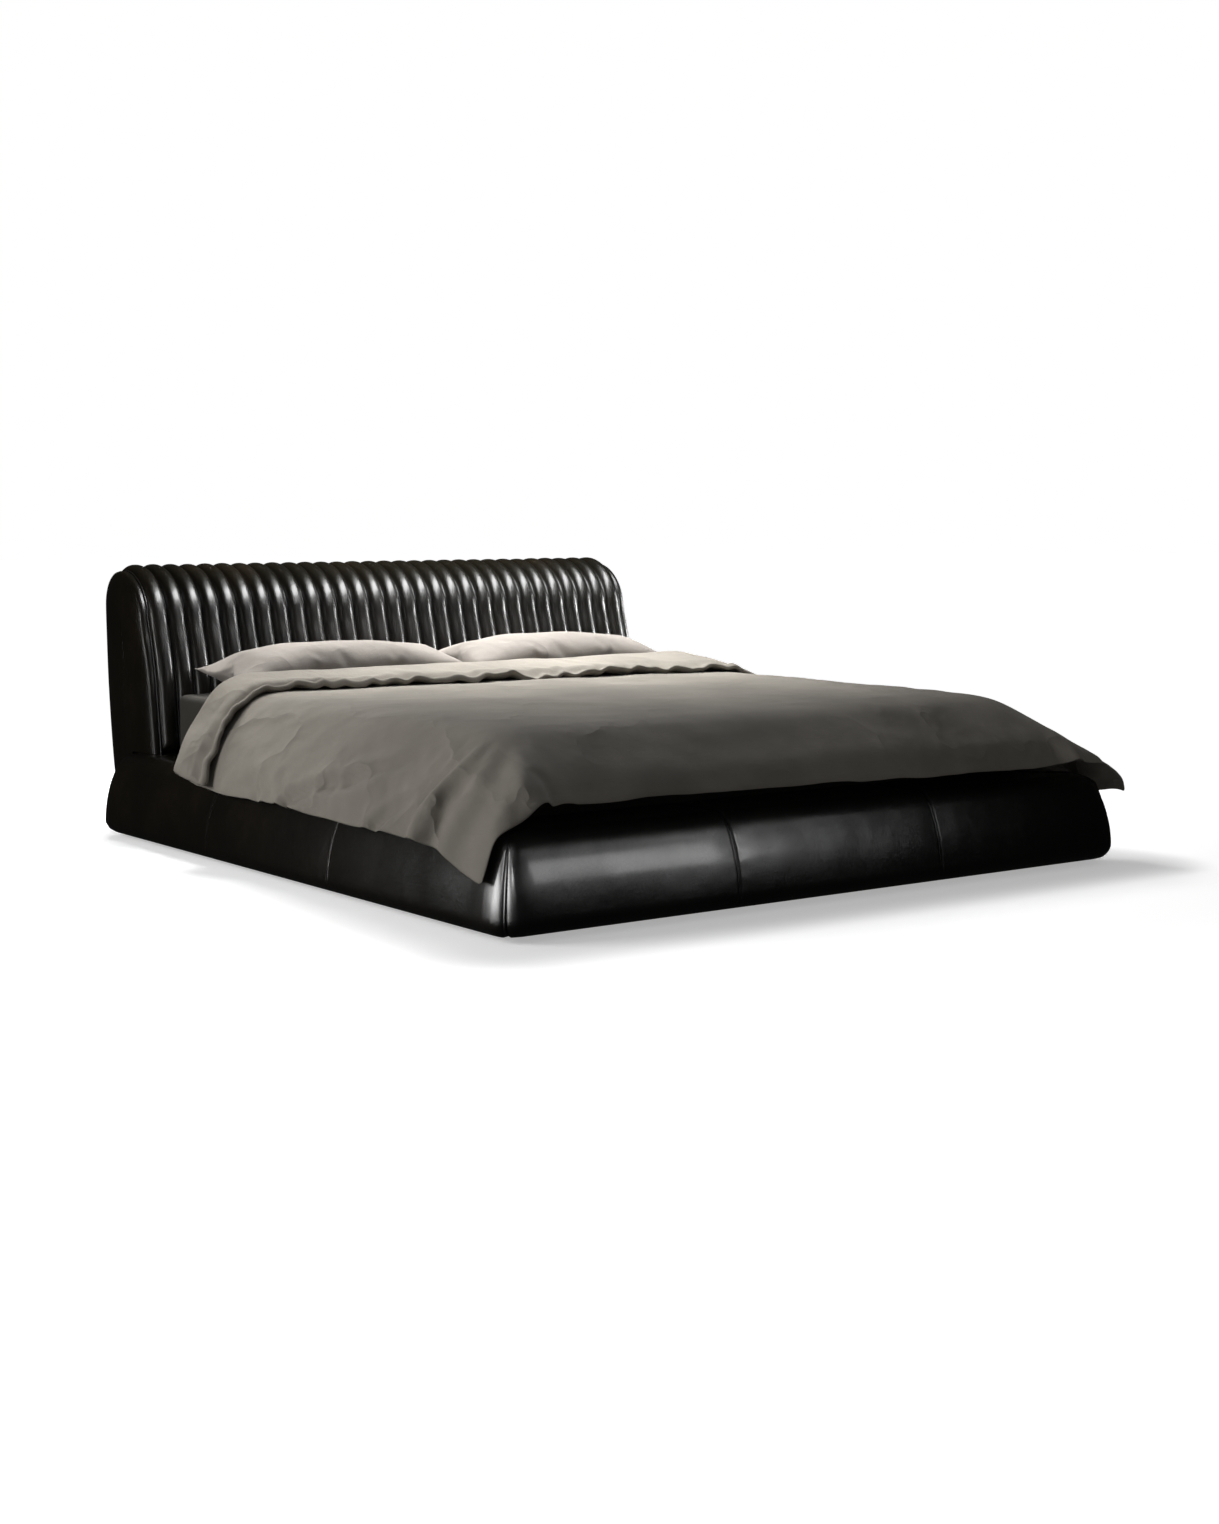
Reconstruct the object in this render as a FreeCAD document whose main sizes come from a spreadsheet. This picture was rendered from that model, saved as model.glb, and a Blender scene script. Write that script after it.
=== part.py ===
import FreeCAD, Part
import math
import os
import Sketcher
from FreeCAD import Placement, Rotation, Vector

# Sleigh bed for a 1930 x 2030 mm mattress. Millimetres, +Z up, the foot end at -Y, the headboard at +Y.
# The origin is on the floor, at the middle of the bed's footprint.

doc = FreeCAD.newDocument("sleigh_bed")


# ---------------------------------------------------------------- driving dimensions
class Size:
    """A number of the sheet, or a sum made from such numbers: its value and its expression."""

    def __init__(self, value, text=None):
        self.value = float(value)
        self.text = text or repr(float(value))

    @staticmethod
    def of(other):
        return other if isinstance(other, Size) else Size(other)

    def __add__(self, other):
        other = Size.of(other)
        return Size(self.value + other.value, f"({self.text} + {other.text})")

    def __sub__(self, other):
        other = Size.of(other)
        return Size(self.value - other.value, f"({self.text} - {other.text})")

    def __mul__(self, other):
        other = Size.of(other)
        return Size(self.value * other.value, f"({self.text} * {other.text})")

    def __truediv__(self, other):
        other = Size.of(other)
        return Size(self.value / other.value, f"({self.text} / {other.text})")

    def __radd__(self, other):
        return Size.of(other) + self

    def __rsub__(self, other):
        return Size.of(other) - self

    def __rmul__(self, other):
        return Size.of(other) * self

    def __neg__(self):
        return Size(0) - self


DIMENSIONS = {
    # whole bed
    "half_width": 1185,          # to the bulge of the side padding
    "foot_y": -1370,             # front bulge of the foot padding
    "rail_end_y": 1120,          # rear end of the side padding
    "head_y": 1370,              # back of the headboard
    # padded rail, measured inward from the bulge and up from the floor
    "pad_bottom": 14,
    "pad_bulge_height": 58,
    "pad_lean": 44,              # how far the outer face leans in at the shoulder
    "pad_shoulder_height": 232,
    "pad_crest_in": 108,
    "pad_top": 285,
    "pad_depth": 212,            # bulge to the mattress side, side rails
    "foot_pad_depth": 304,       # bulge to the mattress, foot rail
    "pad_tuck": 44,              # width of the padding turned under the rail
    "pad_low_arc": 52,           # radii round the padding, from the floor up
    "pad_face_arc": 420,
    "pad_shoulder_arc": 85,
    "pad_inner_arc": 14,
    "nest_gap": 7,               # between the side padding and the headboard's end
    # plywood box rails
    "shell": 95,                 # padding depth in front of the outer board
    "board": 18,
    "board_low": 24,
    "box_top": 240,
    "top_board": 15,
    "inner_gap": 2,              # inner board behind the face of the padding
    "inner_board_end_y": 985,
    "outer_board_end_y": 1100,
    "rib_count": 6,
    "foot_rib_span": 2000,
    # floor parts
    "glide_height": 8,
    "glide_radius": 18,
    "glide_pitch": 720,
    "foot_glide_pitch": 500,
    "plinth_inset": 18,
    "plinth_width": 80,
    # mattress support
    "ledge_width": 30,
    "ledge_height": 40,
    "slat_top": 227,
    "slat_thick": 20,
    "slat_width": 72,
    "slat_count": 14,
    "beam_width": 60,
    "beam_height": 80,
    "leg_radius": 22,
    "leg_low": 34,
    "leg_bore": 5.3,             # radius of the bore that takes the levelling stem
    "bore_depth": 40,
    "flange_thick": 4,
    "flange_half_width": 28,
    "flange_half_length": 40,
    "foot_radius": 20,           # levelling foot: sole and threaded stem
    "sole_thick": 12,
    "stem_radius": 5,
    "stem_length": 48,
    "stem_low": 10,
    "hanger_sheet": 3,           # steel of the beam's hangers
    "hanger_ear": 30,
    "hanger_shelf": 50,
    "block": 45,                 # corner blocks
    "block_low": 40,
    "bolt_head_radius": 9,
    "bolt_head": 5,
    "corner_bolt_height": 100,
    "slat_cap": 3,
    "slat_end_gap": 4,
    # mattress and bedding
    "mattress_width": 1930,
    "mattress_length": 2030,
    "mattress_top": 487,
    "mattress_foot_y": -1060,
    "mattress_round": 45,
    "sheet_thick": 1.5,
    "pillow_middle": 470,
    "pillow_length": 900,
    "pillow_front_y": 588,
    "pillow_thick": 172,
    "duvet_top": 536,
    "duvet_head_y": 578,
    "duvet_fold": 270,           # how far the head end is folded back
    "duvet_hem": 235,
    "duvet_spread": 8,           # how far the duvet's flat top passes the mattress
    "fold_thick": 50,
    # headboard side profile
    "head_half_width": 1055,
    "head_low": 40,
    "end_low_y": 972,            # front of the end panels at the bottom
    "seam_low_y": 983,           # front of the channels' seam line, carried down to the bottom
    "flute_low_y": 1006,         # where the channels start, just above the side rails
    "flute_low_z": 290,
    "seam_knee_y": 1029,
    "seam_knee_z": 540,
    "roll_start_y": 1078,
    "roll_top_y": 1257,
    "seam_top": 905,
    "back_roll_radius": 86,
    "flute_end_z": 640,          # where the channels stop on the back
    "flute_count": 30,
    "flute_crest": 27,
    "foam": 40,
    "back_low_y": 1262,
    "back_sweep": 2900,          # radius of the back's long curve
    "end_sweep": 3090,
    "end_pad": 45,
    "end_puff": 22,
    "knee_arc": 900,             # soft bend of the front between the knee and the roll
    "skin": 9,
    "former": 18,
    "back_skin_rise": 120,       # how far the back skin goes up behind the channels
    "back_cover_thick": 25,
    "cover_low_gap": 8,
    "foot_block_half": 30,       # timber feet under the outer formers
    "foot_block_front": 1060,
    "foot_block_back": 1220,
    "tie_bolt_x": 700,           # bolts from the head cross rail into the headboard
    "tie_bolt_radius": 5,
    "tie_bolt_low": 80,
    "tie_bolt_high": 150,
}
OVERCUT = 20                     # how far a cutting outline passes the material

sheet = doc.addObject("Spreadsheet::Sheet", "Sizes")
for row, (alias, number) in enumerate(DIMENSIONS.items(), start=1):
    sheet.set(f"A{row}", str(number))
    sheet.setAlias(f"A{row}", alias)
doc.recompute()


class Sizes:
    """Gives each driving dimension as a Size, so that z.pad_top + 10 is also an expression."""

    def __getattr__(self, alias):
        return Size(DIMENSIONS[alias], f"Sizes.{alias}")


z = Sizes()
NODES = {}


# ---------------------------------------------------------------- helpers
def keep(feature, name):
    """Registers a finished sub-part under the name of its node."""
    feature.Label = name
    NODES[name] = feature
    return feature


def bind(feature, prop, size):
    feature.setExpression(prop, Size.of(size).text)


def place(feature, x, y, up):
    for axis, size in zip("xyz", (x, y, up)):
        bind(feature, f"Placement.Base.{axis}", size)


def board(name, low, high, hidden=False):
    """A plain board between two opposite corners."""
    box = doc.addObject("Part::Box", name if not hidden else name + "_blank")
    for prop, a, b in zip(("Length", "Width", "Height"), low, high):
        bind(box, prop, Size.of(b) - a)
    place(box, *low)
    return box if hidden else keep(box, name)


def rod(name, radius, height, x, y, low):
    """An upright round bar standing on the height low."""
    bar = doc.addObject("Part::Cylinder", name)
    bind(bar, "Radius", radius)
    bind(bar, "Height", height)
    place(bar, x, y, low)
    return bar


def group(name, members):
    """Identical separate solids that share one node."""
    compound = doc.addObject("Part::Compound", name)
    compound.Links = members
    return keep(compound, name)


def fused(name, members):
    joined = doc.addObject("Part::MultiFuse", name)
    joined.Shapes = members
    joined.Refine = True
    return joined


def mirrored(name, source):
    """The right-hand twin of a left-hand sub-part."""
    twin = doc.addObject("Part::Mirroring", name)
    twin.Source = source
    twin.Base = Vector(0, 0, 0)
    twin.Normal = Vector(1, 0, 0)
    return keep(twin, name)


def new_body(name):
    return doc.addObject("PartDesign::Body", name + "_body")


def sketch_on(body, role, name, offset=None):
    """A sketch on one of the body's own origin planes, moved along the plane's normal."""
    sketch = body.newObject("Sketcher::SketchObject", name)
    plane = next(f for f in body.Origin.OriginFeatures if f.Role == role)
    sketch.AttachmentSupport = [(plane, "")]
    sketch.MapMode = "FlatFace"
    if offset is not None:
        bind(sketch, "AttachmentOffset.Base.z", offset)
    return sketch


def arc_through(start, end, radius, side):
    """The short arc from start to end. side is +1 where it turns left on the way, -1 right."""
    chord = end - start
    half = chord.Length / 2
    drop = math.sqrt(max(radius * radius - half * half, 0))
    left = Vector(-chord.y, chord.x, 0).normalize()
    centre = (start + end) / 2 + left * drop * side
    a0 = math.atan2(start.y - centre.y, start.x - centre.x)
    a1 = math.atan2(end.y - centre.y, end.x - centre.x)
    first, last = (a0, a1) if side > 0 else (a1, a0)
    if last < first:
        last += 2 * math.pi
    return Part.ArcOfCircle(Part.Circle(centre, Vector(0, 0, 1), radius), first, last)


def draw(sketch, corners, arcs=None, closed=True):
    """Lines and arcs through the corners, each held by two bound distances from the origin.
    arcs maps the number of an edge to its radius and turning side."""
    arcs = arcs or {}
    corners = [(Size.of(x), Size.of(y)) for x, y in corners]
    points = [Vector(x.value, y.value, 0) for x, y in corners]
    edges = len(points) if closed else len(points) - 1
    ends = []
    for i in range(edges):
        a, b = points[i], points[(i + 1) % len(points)]
        if i in arcs:
            radius, side = arcs[i]
            sketch.addGeometry(arc_through(a, b, Size.of(radius).value, side), False)
            ends.append((1, 2) if side > 0 else (2, 1))
        else:
            sketch.addGeometry(Part.LineSegment(a, b), False)
            ends.append((1, 2))
    for i in range(edges):
        x, y = corners[i]
        hold(sketch, i, ends[i][0], x, y)
        follows = (i + 1) % edges
        if closed or i + 1 < edges:
            sketch.addConstraint(
                Sketcher.Constraint("Coincident", i, ends[i][1], follows, ends[follows][0])
            )
    if not closed:
        hold(sketch, edges - 1, ends[-1][1], *corners[-1])
    for i, (radius, _) in arcs.items():
        number = sketch.addConstraint(Sketcher.Constraint("Radius", i, Size.of(radius).value))
        bind(sketch, f"Constraints[{number}]", radius)


def hold(sketch, edge, end, x, y):
    for kind, size in (("DistanceX", x), ("DistanceY", y)):
        number = sketch.addConstraint(Sketcher.Constraint(kind, -1, 1, edge, end, size.value))
        bind(sketch, f"Constraints[{number}]", size)


def pad(body, sketch, name, length, reverse=False, middle=False):
    """Thickens the sketch along its normal, or to both sides of its plane."""
    feature = body.newObject("PartDesign::Pad", name)
    feature.Profile = sketch
    bind(feature, "Length", length)
    feature.Reversed = reverse
    if middle:
        feature.SideType = "Symmetric"
    body.Tip = feature
    return feature


def pocket(body, sketch, name):
    """Cuts the sketch right through, both ways."""
    doc.recompute()
    before = body.Shape.Volume
    feature = body.newObject("PartDesign::Pocket", name)
    feature.Profile = sketch
    feature.SideType = "Symmetric"
    feature.Type = "ThroughAll"
    body.Tip = feature
    doc.recompute()
    if body.Shape.Volume >= before:
        raise RuntimeError(f"{name} cuts nothing")
    return feature


# ---------------------------------------------------------------- padded rails
def rail_outline(bulge, inward, depth):
    """The section of a padded rail. bulge is its outermost place and inward is +1 or -1."""

    def at(inset, height):
        return (bulge + Size.of(inset) * inward, height)

    return [
        at(z.pad_tuck, z.pad_bottom),
        at(0, z.pad_bulge_height),
        at(z.pad_lean, z.pad_shoulder_height),
        at(z.pad_crest_in, z.pad_top),
        at(depth - z.pad_inner_arc, z.pad_top),
        at(depth, z.pad_top - z.pad_inner_arc),
        at(depth, z.pad_bottom),
    ]


def rail_arcs(turn):
    return {
        0: (z.pad_low_arc, turn),
        1: (z.pad_face_arc, turn),
        2: (z.pad_shoulder_arc, turn),
        4: (z.pad_inner_arc, turn),
    }


def side_rail_pad():
    """Left padding: a leaning, bulging section along Y, hollow for the plywood box, mitred at the
    foot and cut back beside the headboard, which stands between the two side rails."""
    body = new_body("side_pad_left")
    section = sketch_on(body, "XZ_Plane", "side_pad_section", -z.rail_end_y)
    draw(section, rail_outline(-z.half_width, 1, z.pad_depth), rail_arcs(-1))
    pad(body, section, "side_pad_run", z.rail_end_y - z.foot_y)
    hollow = sketch_on(body, "XZ_Plane", "side_pad_hollow", -z.outer_board_end_y)
    outer = z.shell - z.half_width
    inner = z.pad_depth - z.half_width + OVERCUT
    draw(hollow, [(outer, 0), (inner, 0), (inner, z.box_top), (outer, z.box_top)])
    doc.recompute()
    cut = body.newObject("PartDesign::Pocket", "side_pad_hollow_cut")
    cut.Profile = hollow
    bind(cut, "Length", z.outer_board_end_y - z.foot_y + OVERCUT)
    cut.Reversed = True
    body.Tip = cut
    corner = sketch_on(body, "XY_Plane", "side_pad_mitre")
    reach = z.pad_depth + OVERCUT
    draw(corner, [
        (-z.half_width, z.foot_y),
        (reach - z.half_width, z.foot_y),
        (reach - z.half_width, z.foot_y + reach),
    ])
    pocket(body, corner, "side_pad_mitre_cut")
    nest = sketch_on(body, "XY_Plane", "side_pad_nest")
    beside = -z.head_half_width - z.nest_gap
    past_pad = z.pad_depth - z.half_width + OVERCUT
    draw(nest, [
        (beside, z.inner_board_end_y),
        (past_pad, z.inner_board_end_y),
        (past_pad, z.rail_end_y + OVERCUT),
        (beside, z.rail_end_y + OVERCUT),
    ])
    pocket(body, nest, "side_pad_nest_cut")
    return keep(body, "side_pad_left")


def foot_rail_pad():
    """Foot padding: the same outer section with a deeper top, mitred at both ends."""
    body = new_body("foot_pad")
    section = sketch_on(body, "YZ_Plane", "foot_pad_section")
    draw(section, rail_outline(z.foot_y, 1, z.foot_pad_depth), rail_arcs(-1))
    pad(body, section, "foot_pad_run", z.half_width * 2, middle=True)
    hollow = sketch_on(body, "YZ_Plane", "foot_pad_hollow")
    front = z.foot_y + z.shell
    rear = z.foot_y + z.foot_pad_depth + OVERCUT
    draw(hollow, [(front, 0), (rear, 0), (rear, z.box_top), (front, z.box_top)])
    pocket(body, hollow, "foot_pad_hollow_cut")
    for side, name in ((-1, "left"), (1, "right")):
        corner = sketch_on(body, "XY_Plane", f"foot_pad_mitre_{name}")
        tip = z.pad_depth
        beyond = z.foot_pad_depth + OVERCUT
        draw(corner, [
            (z.half_width * side, z.foot_y),
            ((z.half_width - tip) * side, z.foot_y + tip),
            ((z.half_width - tip) * side, z.foot_y + beyond),
            ((z.half_width + OVERCUT) * side, z.foot_y + beyond),
            ((z.half_width + OVERCUT) * side, z.foot_y),
        ])
        pocket(body, corner, f"foot_pad_mitre_cut_{name}")
    return keep(body, "foot_pad")


# ---------------------------------------------------------------- plywood box rails
OUTER_X = -z.half_width + z.shell            # outer face of the left outer board
INNER_X = -z.half_width + z.pad_depth - z.inner_gap   # mattress face of the left inner board
FOOT_FRONT = z.foot_y + z.shell
FOOT_REAR = z.foot_y + z.foot_pad_depth - z.inner_gap
UNDER_TOP = z.box_top - z.top_board


def box_rails():
    left_outer = board(
        "side_outer_board_left",
        (OUTER_X, FOOT_FRONT + z.board, z.board_low),
        (OUTER_X + z.board, z.outer_board_end_y, UNDER_TOP),
    )
    left_inner = board(
        "side_inner_board_left",
        (INNER_X - z.board, FOOT_REAR, z.board_low),
        (INNER_X, z.inner_board_end_y, UNDER_TOP),
    )
    left_top = board(
        "side_top_board_left",
        (OUTER_X, FOOT_REAR, UNDER_TOP),
        (INNER_X, z.inner_board_end_y, z.box_top),
    )
    run = z.inner_board_end_y - FOOT_REAR
    ribs = []
    for i in range(DIMENSIONS["rib_count"]):
        start = FOOT_REAR + (run - z.board) * (i + 0.5) / z.rib_count
        ribs.append(board(
            f"side_rib_{i + 1}",
            (OUTER_X + z.board, start, z.board_low),
            (INNER_X - z.board, start + z.board, UNDER_TOP),
            hidden=True,
        ))
    left_ribs = group("side_ribs_left", ribs)
    plinth_x = OUTER_X + z.plinth_inset
    left_plinth = board(
        "side_plinth_left",
        (plinth_x, FOOT_FRONT + z.plinth_inset + z.plinth_width, z.glide_height),
        (plinth_x + z.plinth_width, z.inner_board_end_y, z.board_low),
    )
    for source, name in (
        (left_outer, "side_outer_board_right"),
        (left_inner, "side_inner_board_right"),
        (left_top, "side_top_board_right"),
        (left_ribs, "side_ribs_right"),
        (left_plinth, "side_plinth_right"),
    ):
        mirrored(name, source)
    board(
        "foot_outer_board",
        (OUTER_X, FOOT_FRONT, z.board_low),
        (-OUTER_X, FOOT_FRONT + z.board, UNDER_TOP),
    )
    board(
        "foot_inner_board",
        (OUTER_X + z.board, FOOT_REAR - z.board, z.board_low),
        (-OUTER_X - z.board, FOOT_REAR, UNDER_TOP),
    )
    board(
        "foot_top_board",
        (OUTER_X, FOOT_FRONT, UNDER_TOP),
        (-OUTER_X, FOOT_REAR, z.box_top),
    )
    foot_ribs = []
    for i in range(DIMENSIONS["rib_count"]):
        middle = (i + 0.5 - z.rib_count / 2) * z.foot_rib_span / z.rib_count
        foot_ribs.append(board(
            f"foot_rib_{i + 1}",
            (middle, FOOT_FRONT + z.board, z.board_low),
            (middle + z.board, FOOT_REAR - z.board, UNDER_TOP),
            hidden=True,
        ))
    group("foot_ribs", foot_ribs)
    board(
        "foot_plinth",
        (OUTER_X + z.plinth_inset, FOOT_FRONT + z.plinth_inset, z.glide_height),
        (
            -OUTER_X - z.plinth_inset,
            FOOT_FRONT + z.plinth_inset + z.plinth_width,
            z.board_low,
        ),
    )


CROSS_Y = z.inner_board_end_y - z.board * 1.5   # front face of the head cross rail
LEDGE_TOP = z.slat_top - z.slat_thick
GAP = 2                                      # working clearance between timber parts


def inner_structure():
    board(
        "head_cross_rail",
        (INNER_X, CROSS_Y, z.board_low),
        (-INNER_X, CROSS_Y + z.board, LEDGE_TOP - GAP),
    )
    ledge = board(
        "slat_ledge_left",
        (INNER_X, FOOT_REAR, LEDGE_TOP - z.ledge_height),
        (INNER_X + z.ledge_width, CROSS_Y, LEDGE_TOP),
    )
    mirrored("slat_ledge_right", ledge)
    block = z.block
    blocks = []
    for side in (-1, 1):
        for near, name in ((FOOT_REAR, "foot"), (CROSS_Y - block, "head")):
            edge = -INNER_X if side > 0 else INNER_X
            low_x = edge - block if side > 0 else edge
            blocks.append(board(
                f"corner_block_{name}_{'right' if side > 0 else 'left'}",
                (low_x, near, z.block_low),
                (low_x + block, near + block, LEDGE_TOP - z.ledge_height - GAP),
                hidden=True,
            ))
    group("corner_blocks", blocks)
    # each corner block is drawn up by a bolt that runs through the inner board into it
    bolts = []
    for side in (-1, 1):
        for along, name in ((FOOT_REAR + block / 2, "foot"), (CROSS_Y - block / 2, "head")):
            bolt = rod(
                f"corner_bolt_{name}_{'right' if side > 0 else 'left'}",
                z.bolt_head_radius, z.bolt_head, 0, 0, 0,
            )
            start = INNER_X + block if side < 0 else -INNER_X - block - z.bolt_head
            bolt.Placement = Placement(Vector(), Rotation(Vector(0, 1, 0), 90))
            place(bolt, start, along, z.corner_bolt_height)
            bolts.append(bolt)
    group("corner_bolts", bolts)


# the centre legs, as shares of the way from the foot board to the cross rail
LEG_PLACES = (0.7 / 3.4, 1.7 / 3.4, 2.7 / 3.4)


def centre_support():
    half_beam = z.beam_width / 2
    beam_top = LEDGE_TOP
    beam_low = beam_top - z.beam_height
    steel = z.hanger_sheet
    board(
        "centre_beam",
        (-half_beam, FOOT_REAR + steel, beam_low),
        (half_beam, CROSS_Y - steel, beam_top),
    )
    # steel cradles that carry the beam's ends on the foot board and the cross rail
    for name, back, forward in (
        ("beam_hanger_foot", FOOT_REAR, 1),
        ("beam_hanger_head", CROSS_Y, -1),
    ):
        low = beam_low - steel
        ear = half_beam + z.hanger_ear
        cradle = []
        a, b = (back, back + steel) if forward > 0 else (back - steel, back)
        cradle.append(board(f"{name}_plate", (-ear, a, low), (ear, b, beam_top), hidden=True))
        a, b = (back, back + z.hanger_shelf) if forward > 0 else (back - z.hanger_shelf, back)
        cradle.append(board(
            f"{name}_shelf", (-half_beam - steel, a, low), (half_beam + steel, b, low + steel),
            hidden=True,
        ))
        for side, edge in (("left", -half_beam - steel), ("right", half_beam)):
            cradle.append(board(
                f"{name}_{side}", (edge, a, low), (edge + steel, b, beam_top - 10), hidden=True
            ))
        keep(fused(name + "_joined", cradle), name)
    span = CROSS_Y - FOOT_REAR
    for name, share in zip(("foot", "middle", "head"), LEG_PLACES):
        along = FOOT_REAR + span * share
        leg = rod(f"centre_leg_{name}_post", z.leg_radius, beam_low - z.leg_low - z.flange_thick,
                  0, along, z.leg_low)
        flange = board(
            f"centre_leg_{name}_flange",
            (-z.flange_half_width, along - z.flange_half_length, beam_low - z.flange_thick),
            (z.flange_half_width, along + z.flange_half_length, beam_low),
            hidden=True,
        )
        bore = rod(f"centre_leg_{name}_bore", z.leg_bore, z.bore_depth, 0, along, z.leg_low)
        solid = fused(f"centre_leg_{name}_solid", [leg, flange])
        cut = doc.addObject("Part::Cut", f"centre_leg_{name}_cut")
        cut.Base = solid
        cut.Tool = bore
        keep(cut, f"centre_leg_{name}")
        # levelling foot: a round pad on a threaded stem that screws up into the leg
        sole = rod(f"levelling_foot_{name}_sole", z.foot_radius, z.sole_thick, 0, along, 0)
        stem = rod(f"levelling_foot_{name}_stem", z.stem_radius, z.stem_length, 0, along, z.stem_low)
        keep(fused(f"levelling_foot_{name}_joined", [sole, stem]), f"levelling_foot_{name}")


def slats():
    """Full-width slats in plastic end caps, resting on the ledges and the centre beam."""
    run = CROSS_Y - FOOT_REAR
    bars = []
    caps_left = []
    for i in range(DIMENSIONS["slat_count"]):
        front = FOOT_REAR + (run - z.slat_width) * (i + 0.3) / (z.slat_count - 0.4)
        cap_end = INNER_X + GAP
        slat = board(
            f"slat_{i + 1:02d}_bar",
            (cap_end + z.slat_end_gap, front, LEDGE_TOP + z.slat_cap),
            (-cap_end - z.slat_end_gap, front + z.slat_width, z.slat_top - 1),
            hidden=True,
        )
        doc.recompute()
        rounded = doc.addObject("Part::Fillet", f"slat_{i + 1:02d}_rounded")
        rounded.Base = slat
        along_x = [
            n for n, edge in enumerate(slat.Shape.Edges, start=1)
            if abs(edge.tangentAt(edge.FirstParameter).x) > 0.99
        ]
        rounded.Edges = [(n, 5.0, 5.0) for n in along_x]
        bars.append(rounded)
        caps_left.append(board(
            f"slat_cap_left_{i + 1:02d}",
            (cap_end, front - z.slat_cap, LEDGE_TOP),
            (
                INNER_X + z.ledge_width,
                front + z.slat_width + z.slat_cap,
                LEDGE_TOP + z.slat_cap,
            ),
            hidden=True,
        ))
    group("slats", bars)
    mirrored("slat_caps_right", group("slat_caps_left", caps_left))


def floor_glides():
    """Round plastic glides under the plinth strips and under the headboard's feet."""
    glides = []
    column = OUTER_X + z.plinth_inset + z.plinth_width / 2
    row = FOOT_FRONT + z.plinth_inset + z.plinth_width / 2
    for side in (-1, 1):
        across = column if side < 0 else -column
        rows = (row, row + z.glide_pitch, row + z.glide_pitch * 2, z.inner_board_end_y - 60)
        for j, along in enumerate(rows):
            glides.append(rod(f"glide_{'right' if side > 0 else 'left'}_{j}", z.glide_radius,
                              z.glide_height, across, along, 0))
    for j, across in enumerate((-z.foot_glide_pitch, 0, z.foot_glide_pitch)):
        glides.append(rod(f"glide_foot_{j}", z.glide_radius, z.glide_height, across, row, 0))
    group("floor_glides", glides)


# ---------------------------------------------------------------- headboard
# across the headboard, as shares of its half width
FORMER_PLACES = (-0.92, -0.46, 0, 0.46, 0.92)
# the three tie rails: front face, underside, depth and height
TIES = (
    (Size(1100), Size(90), Size(27), Size(120)),
    (Size(1140), Size(430), Size(27), Size(90)),
    (Size(1200), Size(760), Size(70), Size(45)),
)
# the front skin stops short of the roll, at this share of the way from the knee
SKIN_REACH = 0.88
# the lower cover's face behind the seam line
COVER_SET_BACK = 16


def former_outline(inset):
    """The closed side profile of the headboard's timber core, in Y and Z, set in from the seams."""
    top = z.seam_top - inset
    front_radius = z.roll_top_y - z.roll_start_y - inset
    back_radius = z.back_roll_radius - inset
    back = z.roll_top_y + back_radius
    corners = [
        (z.seam_low_y + inset, z.head_low),
        (z.back_low_y, z.head_low),
        (back, z.flute_end_z),
        (back, top - back_radius),
        (z.roll_top_y, top),
        (z.roll_top_y - front_radius, top - front_radius),
        (z.seam_knee_y + inset, z.seam_knee_z),
    ]
    arcs = {1: (z.back_sweep, 1), 3: (back_radius, 1), 4: (front_radius, 1)}
    return corners, arcs


def headboard_frame():
    """Five plywood formers, tied by a bottom, a middle and a top rail and closed by thin skins."""
    corners, arcs = former_outline(z.foam + z.skin)
    for number, across in enumerate(FORMER_PLACES, start=1):
        body = new_body(f"headboard_former_{number}")
        section = sketch_on(body, "YZ_Plane", f"former_section_{number}", z.head_half_width * across)
        draw(section, corners, arcs)
        pad(body, section, f"former_plate_{number}", z.former, middle=True)
        # slots that the three tie rails pass through
        slots = sketch_on(body, "YZ_Plane", f"former_slots_{number}")
        for low_y, low_z, deep, tall in TIES:
            rectangle(slots, low_y, low_z, deep, tall)
        pocket(body, slots, f"former_slot_cut_{number}")
        keep(body, f"headboard_former_{number}")
    for name, (low_y, low_z, deep, tall) in zip(("bottom", "middle", "top"), TIES):
        reach = z.head_half_width - z.end_pad - 8
        board(
            f"headboard_{name}_rail",
            (-reach, low_y, low_z),
            (reach, low_y + deep, low_z + tall),
        )


def rectangle(sketch, low_x, low_y, wide, tall):
    """Adds one held rectangle to a sketch that may already have others."""
    first = sketch.GeometryCount
    corners = [
        (low_x, low_y), (low_x + wide, low_y), (low_x + wide, low_y + tall), (low_x, low_y + tall),
    ]
    points = [Vector(x.value, y.value, 0) for x, y in corners]
    for i in range(4):
        sketch.addGeometry(Part.LineSegment(points[i], points[(i + 1) % 4]), False)
    for i in range(4):
        hold(sketch, first + i, 1, *corners[i])
        follows = first + (i + 1) % 4
        sketch.addConstraint(Sketcher.Constraint("Coincident", first + i, 2, follows, 1))


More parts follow.
